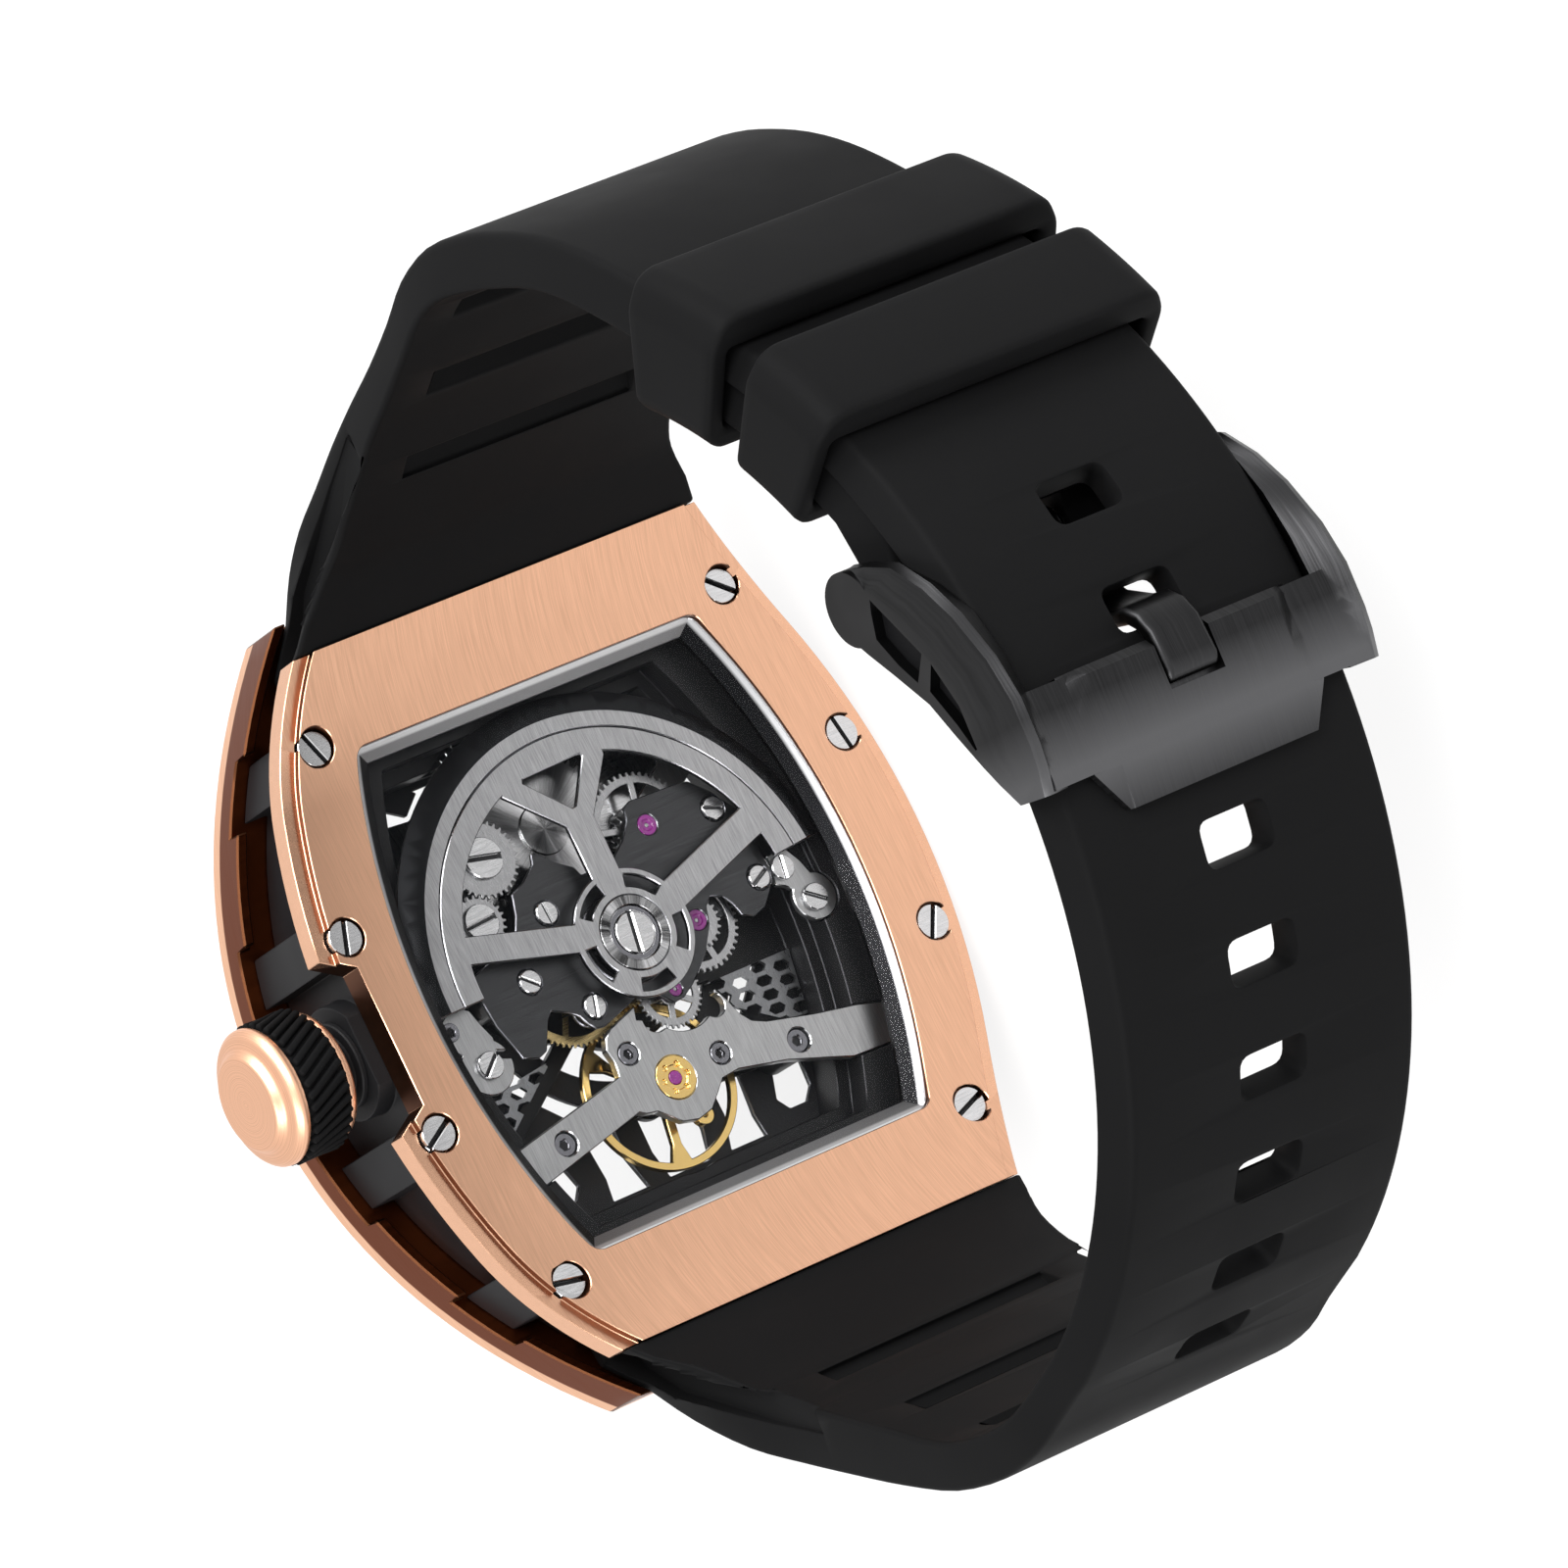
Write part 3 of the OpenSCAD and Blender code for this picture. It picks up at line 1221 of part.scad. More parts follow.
module buckle_arm() {
  loop_skin([
    arm(-8.55, 36.2, 36.6, 38.2, 37.6),
    arm(-6.2, 35.0, 35.6, 38.6, 37.6),
    arm(-4.2, 34.2, 35.0, 38.8, 37.5),
    arm(-0.3, 33.0, 35.2, 38.95, 37.5),
    arm(3.6, 32.1, 35.2, 38.6, 37.5),
    arm(8.3, 30.5, 34.6, 37.7, 37.1),
    arm(12.1, 29.4, 33.8, 36.7, 36.2),
    arm(15.9, 28.6, 32.8, 35.3, 34.9),
    arm(18.4, 28.6, 31.8, 33.4, 33.1),
    arm(20.2, 29.2, 30.8, 31.8, 31.6)]);
}

// section of the raised block on the crossbar
function block(a, base, top, r) = [a, [[-base, 37.05], [base, 37.05], [base, 37.6], [top, r],
  [-top, r], [-base, 37.6]]];

module buckle_frame() {
  color("#26272a") difference() {
    union() {
      buckle_arm();
      mirror([1, 0, 0]) buckle_arm();
      for (s = [-1, 1]) along_x(s > 0 ? 11.38 : -buckle_half_w, s > 0 ? buckle_half_w : -11.38)
        translate(pivot) circle(2.2);
      about_x(loop_c, -8.4, 0) polygon([[37.05, -11.5], [38.4, -11.5], [38.0, -10.3],
        [37.85, -8.3], [37.85, 8.3], [38.0, 10.3], [38.4, 11.5], [37.05, 11.5]]);
      loop_skin([block(-12.3, 6.8, 6.6, 37.8), block(-8.5, 8.3, 6.7, 38.05),
        block(-4.5, 8.3, 6.75, 38.35), block(-0.6, 8.3, 6.75, 38.5), block(0.2, 8.2, 7.1, 38.0)]);
    }
    // blind bores for the spring bar
    for (s = [-1, 1]) along_x(s > 0 ? 11 : -bar_half - gap, s > 0 ? bar_half + gap : -11)
      translate(pivot) circle(bar_r + run);
    // blind windows in the arms
    for (s = [-1, 1]) along_x(s > 0 ? buckle_half_w - 0.7 : -14, s > 0 ? 14 : 0.7 - buckle_half_w) {
      polygon([[6.7, -56.2], [6.0, -55.75], [4.62, -55.1], [2.75, -56.0], [1.35, -56.95],
        [2.6, -58.5]]);
      polygon([[1.85, -58.9], [0.6, -57.65], [-1.8, -58.65], [-3.5, -59.15], [-3.5, -59.35],
        [-0.95, -59.6]]);
    }
    // seat of the tongue
    about_x(loop_c, -4.4, 2) band2d(37.4, 42, tongue_w / 2 + 0.15, tongue_w / 2 + 0.15);
  }
}

module buckle_tongue() {
  color("#4a4b4e") difference() {
    union() {
      along_x(-tongue_w / 2, tongue_w / 2) polygon([[7.3, -54.9], [5.9, -55.35], [4.0, -56.2],
        [1.6, -58.4], [0.6, -60.6], [0.35, -62.0], [-0.4, -63.0], [-1.6, -63.55], [-4.0, -63.6],
        [-4.6, -63.2], [-4.6, -62.45], [-1.3, -62.42], [-0.65, -61.7], [-0.3, -60.0],
        [0.9, -57.4], [3.0, -55.2], [5.3, -53.4], [6.4, -52.9]]);
      along_x(-tongue_w / 2, tongue_w / 2) translate(pivot) circle(1.5);
    }
    along_x(-20, 20) translate(pivot) circle(bar_r + run);
  }
}

module spring_bar() {
  color("#b8babc") along_x(-bar_half, bar_half) translate(pivot) circle(bar_r);
}

place() caseback();
place() caseback_screws();
place() back_window_ring();
place() back_crystal();
place() case_middle();
place() front_bezel();
place() bezel_screws();
place() front_crystal();
place() flange();
place() hour_markers();
place() skeleton_dial();
place() mainplate();
place() mesh_plates();
place() automatic_bridge();
place() train_bridge();
place() barrel_bridge();
place() balance_cock();
place() pallet_bridge();
place() bridge_screws();
place() cock_screws();
place() jewels();
place() shock_setting();
place() regulator();
place() crown_levers();
place() winding_screws();
place() rotor_plate();
place() rotor_weight();
place() rotor_bearing();
place() bearing_core();
place() rotor_screw();
place() reversing_wheel();
place() reduction_wheel();
place() ratchet_wheel();
place() winding_wheel_1();
place() winding_wheel_2();
place() mainspring_barrel();
place() centre_wheel();
place() third_wheel();
place() fourth_wheel();
place() escape_wheel();
place() pallet_fork();
place() balance_wheel();
place() hairspring();
place() hour_wheel();
place() minute_wheel();
place() hour_hand();
place() minute_hand();
place() seconds_hand();
place() crown_cap();
place() crown_grip();
place() crown_gasket();
place() crown_tube();
place() winding_stem();
place() strap_12h();
place() strap_6h();
place() fixed_keeper();
place() sliding_keeper();
place() buckle_frame();
place() buckle_tongue();
place() spring_bar();
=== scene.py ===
"""Skeleton watch seen from its back: finishes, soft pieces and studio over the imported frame."""

import json
from math import cos, pi, radians, sin, sqrt

import bmesh
import bpy
from bpy.props import FloatProperty, FloatVectorProperty, IntProperty, PointerProperty
from mathutils import Matrix, Vector


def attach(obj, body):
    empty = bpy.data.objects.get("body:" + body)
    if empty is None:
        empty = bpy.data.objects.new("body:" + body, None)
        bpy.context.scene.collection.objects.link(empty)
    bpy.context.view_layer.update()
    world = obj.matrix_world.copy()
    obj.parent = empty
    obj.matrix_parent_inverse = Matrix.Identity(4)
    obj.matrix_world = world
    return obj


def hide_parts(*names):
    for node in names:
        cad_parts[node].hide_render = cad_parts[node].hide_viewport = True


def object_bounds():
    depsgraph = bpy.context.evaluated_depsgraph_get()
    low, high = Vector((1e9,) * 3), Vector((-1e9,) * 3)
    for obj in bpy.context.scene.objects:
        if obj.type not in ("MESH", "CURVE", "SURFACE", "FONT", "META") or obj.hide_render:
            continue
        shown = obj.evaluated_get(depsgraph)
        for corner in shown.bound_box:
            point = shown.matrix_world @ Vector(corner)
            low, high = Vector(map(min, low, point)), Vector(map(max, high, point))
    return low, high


bl_info = {
    "name": "Skeleton Watch",
    "version": (1, 0, 0),
    "blender": (4, 5, 0),
    "location": "View3D > Sidebar > Watch",
    "description": "Finishes the case, the movement, the strap and the buckle of a skeleton watch",
    "category": "Object",
}

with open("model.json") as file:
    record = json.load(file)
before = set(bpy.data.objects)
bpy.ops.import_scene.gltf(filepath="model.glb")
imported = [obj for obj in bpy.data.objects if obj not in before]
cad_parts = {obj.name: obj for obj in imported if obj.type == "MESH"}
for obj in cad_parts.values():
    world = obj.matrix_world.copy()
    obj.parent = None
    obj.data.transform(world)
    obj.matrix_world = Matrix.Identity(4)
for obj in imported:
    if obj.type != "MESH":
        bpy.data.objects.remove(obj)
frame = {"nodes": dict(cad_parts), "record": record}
CAD_BOX = [list(corner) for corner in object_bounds()]
NODES = frame["nodes"]
BODY = {n: b for b, names in frame["record"]["behaviour"]["bodies"].items() for n in names}
MM = 0.001

# Places in the case frame, in millimetres: x to 3 o'clock, y to 12 o'clock, z toward the dial.
# They are the strap loop's centre, the axes of the rotor, the barrel and the crown, and the arcs
# of the case's flanks and of the bezel's front
LOOP_Y, LOOP_Z = -2.0, -25.0
ROTOR = (0.0, 0.15)
BARREL = (1.2, 8.2)
GRIP_X, CROWN_Z = 23.83, 4.95
FLANK_R, FLANK_X = 43.9, 22.6
BEZEL_ARCH, BEZEL_C = 46.2, -33.3

# Places on the row's own axes, in millimetres: the window ring's lip on y, the crossbar's crest on x
RING_LIP = -0.48
CROSSBAR_CREST = 7.2


def case_point(x, y, z):
    """A place in the case frame, in the row's frame and in metres."""
    return Vector((-y, -z, x)) * MM


def loop_point(x, radius, angle):
    """A place at a radius and an angle of the strap's loop."""
    a = radians(angle)
    return case_point(x, LOOP_Y + radius * sin(a), LOOP_Z - radius * cos(a))


# Settings
def tint(name, description, default):
    return FloatVectorProperty(name=name, description=description, default=default,
                               subtype="COLOR", size=3, min=0, max=1)


def chamfer(name, description, default, least, most):
    return FloatProperty(name=name, description=description, default=default,
                         unit="LENGTH", min=least, max=most)


def wattage(name, description, default):
    return FloatProperty(name=name, description=description, default=default,
                         subtype="POWER", unit="POWER", min=0, max=60)


class WatchColours(bpy.types.PropertyGroup):
    """Colours of the watch's finishes."""

    rose_gold: tint("Rose gold", "Plating of the caseback and the crown", (0.79, 0.455, 0.295))
    bezel_gold: tint("Bezel gold", "Plating of the front bezel and its inner face", (0.88, 0.52, 0.34))
    yellow_gold: tint("Yellow gold", "Balance rim, regulator and setting", (0.86, 0.60, 0.22))
    rotor_grey: tint("Rotor grey", "Cross brushed plate of the rotor", (0.45, 0.45, 0.46))
    bridge_dark: tint("Dark bridge", "Satin bridges of the movement", (0.072, 0.073, 0.076))
    steel: tint("Steel", "Polished screws and wheels", (0.74, 0.74, 0.75))
    ruby: tint("Ruby", "Bearing stones", (0.30, 0.018, 0.27))
    rubber: tint("Rubber", "Strap, keepers and crown grip", (0.0065, 0.0065, 0.0068))
    buckle: tint("Buckle black", "Coated steel of the buckle", (0.026, 0.026, 0.027))


class WatchSizes(bpy.types.PropertyGroup):
    """Sizes of the edges and of the soft pieces."""

    strap_edge: chamfer("Strap edge", "Rounding of the strap's long edges", 0.00045, 0.0001, 0.001)
    keeper_edge: chamfer("Keeper edge", "Rounding of the keepers' rims", 0.0004, 0.0001, 0.001)
    case_edge: chamfer("Case edge", "Chamfer of the caseback and the bezel", 0.00012, 0.00002, 0.0004)
    bridge_edge: chamfer("Bridge edge", "Chamfer of the bridges and the rotor", 0.00006, 0.00002, 0.0002)
    grip_ridges: IntProperty(
        name="Grip ridges", description="Slanted ridges round the crown's rubber grip",
        min=20, max=48, default=36)


class WatchStudio(bpy.types.PropertyGroup):
    """Levels of the studio's lamps."""

    key_power: wattage("Key lamp", "Power of the large lamp over the camera", 9.0)
    side_power: wattage("Side lamp", "Power of the long lamp beside the crown", 4.0)
    back_power: wattage("Far lamp", "Power of the lamp beyond the buckle", 4.0)


def settings():
    return bpy.context.scene.watch_colours, bpy.context.scene.watch_sizes


# Materials

# Sockets of a Mix node that mixes colours
MIX_AMOUNT, MIX_FIRST, MIX_SECOND, MIX_RESULT = 0, 6, 7, 2
# Shares of the main and of the other noise where two are mixed
MAIN_SHARE, OTHER_SHARE = 0.65, 0.35
# The noise between these values makes the brushed lines and the rays
LINE_BAND, RAY_BAND = (0.36, 0.64), (0.38, 0.62)
# The broader brushed lines are this much wider, and lie this far away in metres
BROADER, BROADER_SHIFT = 1.8, (0.01, 0.02, 0.03)
# Millimetres over which the window ring's colour turns to painted shade beyond its lip, to each side
LIP_SHADE_FADE = 0.06
# Millimetres under the bezel's arch between which painted shade darkens its gold
BEZEL_SHADE = (1.0, 0.9)
# Millimetres from the crossbar's crest between which the painted highlight fades from full to none
CREST_HIGHLIGHT = (0.4, 3.8)


def new_material(name, metallic=0.0):
    """A material with a Principled shader, its node tree and that shader."""
    mat = bpy.data.materials.new(name)
    mat.use_nodes = True
    tree = mat.node_tree
    tree.nodes.clear()
    out = tree.nodes.new("ShaderNodeOutputMaterial")
    shader = tree.nodes.new("ShaderNodeBsdfPrincipled")
    shader.inputs["Metallic"].default_value = metallic
    tree.links.new(shader.outputs["BSDF"], out.inputs["Surface"])
    return mat, tree, shader


def shader_of(mat):
    """A material's node tree and its Principled shader."""
    tree = mat.node_tree
    return tree, next(n for n in tree.nodes if n.type == "BSDF_PRINCIPLED")


def coordinates(tree):
    return tree.nodes.new("ShaderNodeTexCoord").outputs["Object"]


def axes(tree):
    """Object coordinates, one output for each axis."""
    apart = tree.nodes.new("ShaderNodeSeparateXYZ")
    tree.links.new(coordinates(tree), apart.inputs[0])
    return apart.outputs


def grain_space(tree, sizes, centre=(0, 0, 0)):
    """Object coordinates measured in grains of these sizes in millimetres."""
    mapping = tree.nodes.new("ShaderNodeMapping")
    mapping.vector_type = "TEXTURE"
    mapping.inputs["Location"].default_value = centre
    mapping.inputs["Scale"].default_value = [s * MM for s in sizes]
    tree.links.new(coordinates(tree), mapping.inputs["Vector"])
    return mapping.outputs["Vector"]


def noise(tree, space, detail=2.0, scale=1.0, rough=0.5):
    node = tree.nodes.new("ShaderNodeTexNoise")
    node.inputs["Scale"].default_value = scale
    node.inputs["Detail"].default_value = detail
    node.inputs["Roughness"].default_value = rough
    tree.links.new(space, node.inputs["Vector"])
    return node.outputs["Fac"]


def math_node(tree, kind, a, b=None, c=None):
    node = tree.nodes.new("ShaderNodeMath")
    node.operation = kind
    for slot, value in zip(node.inputs, (a, b, c)):
        if value is None:
            continue
        if isinstance(value, (int, float)):
            slot.default_value = value
        else:
            tree.links.new(value, slot)
    return node.outputs[0]


def vector_node(tree, kind, vector, values=None):
    node = tree.nodes.new("ShaderNodeVectorMath")
    node.operation = kind
    tree.links.new(vector, node.inputs[0])
    if values is not None:
        node.inputs[1].default_value = values
    return node.outputs["Value" if kind == "LENGTH" else "Vector"]


def square(tree, value):
    return math_node(tree, "MULTIPLY", value, value)


def mostly(tree, main, other):
    """Two noises in one, more of the main one."""
    share = math_node(tree, "MULTIPLY", main, MAIN_SHARE)
    return math_node(tree, "MULTIPLY_ADD", other, OTHER_SHARE, share)


def spread(tree, value, low, high, start=0.3, end=0.7):
    """Goes from low to high while the value goes from start to end."""
    node = tree.nodes.new("ShaderNodeMapRange")
    tree.links.new(value, node.inputs["Value"])
    for name, v in (("From Min", start), ("From Max", end), ("To Min", low), ("To Max", high)):
        node.inputs[name].default_value = v
    return node.outputs["Result"]


def paint(tree, shader, amount, first, second):
    """Base colour between two colours; the first may be another node's output."""
    node = tree.nodes.new("ShaderNodeMix")
    node.data_type = "RGBA"
    if isinstance(first, bpy.types.NodeSocket):
        tree.links.new(first, node.inputs[MIX_FIRST])
    else:
        node.inputs[MIX_FIRST].default_value = (*first, 1)
    node.inputs[MIX_SECOND].default_value = (*second, 1)
    tree.links.new(amount, node.inputs[MIX_AMOUNT])
    tree.links.new(node.outputs[MIX_RESULT], shader.inputs["Base Color"])


def overlay(tree, shader, amount, colour):
    """Another colour over the material's own."""
    paint(tree, shader, amount, shader.inputs["Base Color"].links[0].from_socket, colour)


def roughen(tree, shader, value, low, high, start=0.3, end=0.7):
    """Roughness between two levels."""
    tree.links.new(spread(tree, value, low, high, start, end), shader.inputs["Roughness"])


def relief(tree, shader, height, strength, depth_mm):
    """Bumps on the surface, of this depth in millimetres."""
    node = tree.nodes.new("ShaderNodeBump")
    node.inputs["Strength"].default_value = strength
    node.inputs["Distance"].default_value = depth_mm * MM
    tree.links.new(height, node.inputs["Height"])
    tree.links.new(node.outputs["Normal"], shader.inputs["Normal"])


def shade_of(colour, factor):
    return [min(1.0, c * factor) for c in colour]


def brushed(name, colour, grain, rough=(0.24, 0.42), contrast=0.1, depth=0.002):
    """Metal drawn with fine lines: grain gives the line's size along each row axis."""
    mat, tree, shader = new_material(name, 1.0)
    fine = noise(tree, grain_space(tree, grain))
    broad = noise(tree, grain_space(tree, [g * BROADER for g in grain], BROADER_SHIFT))
    lines = mostly(tree, fine, broad)
    value = spread(tree, lines, 0, 1, *LINE_BAND)
    paint(tree, shader, value, shade_of(colour, 1 - contrast), shade_of(colour, 1 + contrast))
    roughen(tree, shader, lines, rough[1], rough[0], *LINE_BAND)
    relief(tree, shader, lines, 0.6, depth)
    return mat


def polished(name, colour, rough=0.12, wear=0.05):
    """Polished metal with faint hairlines."""
    mat, tree, shader = new_material(name, 1.0)
    haze = noise(tree, grain_space(tree, (0.5, 0.5, 0.5)), 3)
    paint(tree, shader, haze, shade_of(colour, 0.92), shade_of(colour, 1.05))
    roughen(tree, shader, haze, rough, rough + wear)
    return mat


def coated(name, colour, rough=0.38, grain=0.12, depth=0.01, specular=0.4):
    """Black or grey coating with a fine grain."""
    mat, tree, shader = new_material(name)
    specks = noise(tree, grain_space(tree, (grain, grain, grain)), 3, rough=0.6)
    clouds = noise(tree, grain_space(tree, (4, 4, 4)), 1)
    paint(tree, shader, specks, shade_of(colour, 0.7), shade_of(colour, 1.35))
    roughen(tree, shader, clouds, rough - 0.04, rough + 0.06)
    relief(tree, shader, specks, 0.5, depth)
    shader.inputs["Specular IOR Level"].default_value = specular
    return mat


def rubber_material(name, colour):
    """Moulded rubber with fine pores and a dull, slightly cloudy surface."""
    mat, tree, shader = new_material(name)
    pores = noise(tree, grain_space(tree, (0.09, 0.09, 0.09)), rough=0.6)
    clouds = noise(tree, grain_space(tree, (7, 7, 7)))
    paint(tree, shader, clouds, shade_of(colour, 0.85), shade_of(colour, 1.2))
    roughen(tree, shader, clouds, 0.56, 0.66)
    relief(tree, shader, pores, 0.25, 0.012)
    shader.inputs["Specular IOR Level"].default_value = 0.05
    return mat


def turned(name, colour, centre, axis, line=0.05, rough=(0.2, 0.36), contrast=0.14):
    """Metal with fine circles round an axis of the row frame, 0, 1 or 2."""
    mat, tree, shader = new_material(name, 1.0)
    from_axis = vector_node(tree, "SUBTRACT", coordinates(tree), centre)
    in_lines = [0 if k == axis else 1 / (line * MM) for k in range(3)]
    reach = vector_node(tree, "LENGTH", vector_node(tree, "MULTIPLY", from_axis, in_lines))
    rings = tree.nodes.new("ShaderNodeTexNoise")
    rings.noise_dimensions = "1D"
    rings.inputs["Scale"].default_value = 1.0
    rings.inputs["Detail"].default_value = 2.0
    tree.links.new(reach, rings.inputs["W"])
    lines = rings.outputs["Fac"]
    value = spread(tree, lines, 0, 1)
    paint(tree, shader, value, shade_of(colour, 1 - contrast), shade_of(colour, 1 + contrast))
    roughen(tree, shader, lines, rough[1], rough[0])
    relief(tree, shader, lines, 0.5, 0.004)
    return mat


def sunburst(name, colour, centre, rays=9.0, rough=0.16, dark=0.35):
    """Polished metal with fine rays round an axis through the movement, and broad bright and dark
    sectors, which on the barrel and the ratchet are painted reflections.
    """
    mat, tree, shader = new_material(name, 1.0)
    along = axes(tree)
    a = math_node(tree, "SUBTRACT", along["X"], -centre[1] * MM)
    b = math_node(tree, "SUBTRACT", along["Z"], centre[0] * MM)
    angle = math_node(tree, "ARCTAN2", a, b)
    # the rays close on themselves because they read the sine and cosine of the angle
    around = tree.nodes.new("ShaderNodeCombineXYZ")
    tree.links.new(math_node(tree, "SINE", angle), around.inputs[0])
    tree.links.new(math_node(tree, "COSINE", angle), around.inputs[1])
    # Broad bright and dark sectors; on the barrel and the ratchet they are painted reflections
    broad = noise(tree, around.outputs[0], 1, scale=1.7)
    fine = noise(tree, around.outputs[0], 3, scale=rays * 6, rough=0.7)
    value = spread(tree, mostly(tree, broad, fine), 0, 1, *RAY_BAND)
    paint(tree, shader, value, shade_of(colour, dark), shade_of(colour, 1.1))
    relief(tree, shader, fine, 0.35, 0.02)
    shader.inputs["Roughness"].default_value = rough
    return mat


def stone(name, colour):
    """Polished stone, deeper in some places than in others."""
    mat, tree, shader = new_material(name)
    depth = noise(tree, grain_space(tree, (0.3, 0.3, 0.3)))
    paint(tree, shader, depth, shade_of(colour, 0.7), shade_of(colour, 1.3))
    shader.inputs["Roughness"].default_value = 0.08
    shader.inputs["Coat Weight"].default_value = 0.6
    return mat


def crystal(name):
    """Clear crystal with a faint dark film."""
    mat, tree, shader = new_material(name)
    film = noise(tree, grain_space(tree, (9, 9, 9)), 1)
    paint(tree, shader, film, (0.010, 0.012, 0.016), (0.016, 0.018, 0.022))
    shader.inputs["Roughness"].default_value = 0.03
    shader.inputs["Alpha"].default_value = 0.05
    return mat


def ring_metal(name, far, near, rough):
    """Polished metal that changes colour at the height of the window ring's lip; the far colour, beyond
    the lip, is painted shade.
    """
    mat = polished(name, far, rough)
    tree, shader = shader_of(mat)
    band = [(RING_LIP + side * LIP_SHADE_FADE) * MM for side in (-1, 1)]
    paint(tree, shader, spread(tree, axes(tree)["Y"], 0, 1, *band), far, near)
    return mat


def bezel_metal(name, light, dark):
    """Satin gold along the arched front, with painted shade where the bezel turns toward the wrist."""
    mat = brushed(name, light, (3.0, 0.06, 3.0), (0.3, 0.42), 0.1, 0.0015)
    tree, shader = shader_of(mat)
    along = axes(tree)
    rise = math_node(tree, "ADD", along["Y"], BEZEL_C * MM)
    squares = math_node(tree, "ADD", square(tree, along["X"]), square(tree, rise))
    reach = math_node(tree, "SQRT", squares)
    # Painted shade, full from a millimetre under the arch
    band = [(BEZEL_ARCH - under) * MM for under in BEZEL_SHADE]
    overlay(tree, shader, spread(tree, reach, 1, 0, *band), dark)
    return mat


def buckle_steel(name, dark, light):
    """Black brushed steel with a painted highlight round the crest of the crossbar."""
    mat = brushed(name, dark, (5.0, 5.0, 0.06), (0.3, 0.42), 0.2)
    tree, shader = shader_of(mat)
    # Painted highlight, fading out away from the crossbar's crest
    across = math_node(tree, "SUBTRACT", axes(tree)["X"], CROSSBAR_CREST * MM)
    away = math_node(tree, "ABSOLUTE", across)
    overlay(tree, shader, spread(tree, away, 1, 0, *[r * MM for r in CREST_HIGHLIGHT]), light)
    return mat


FINISHES = {}


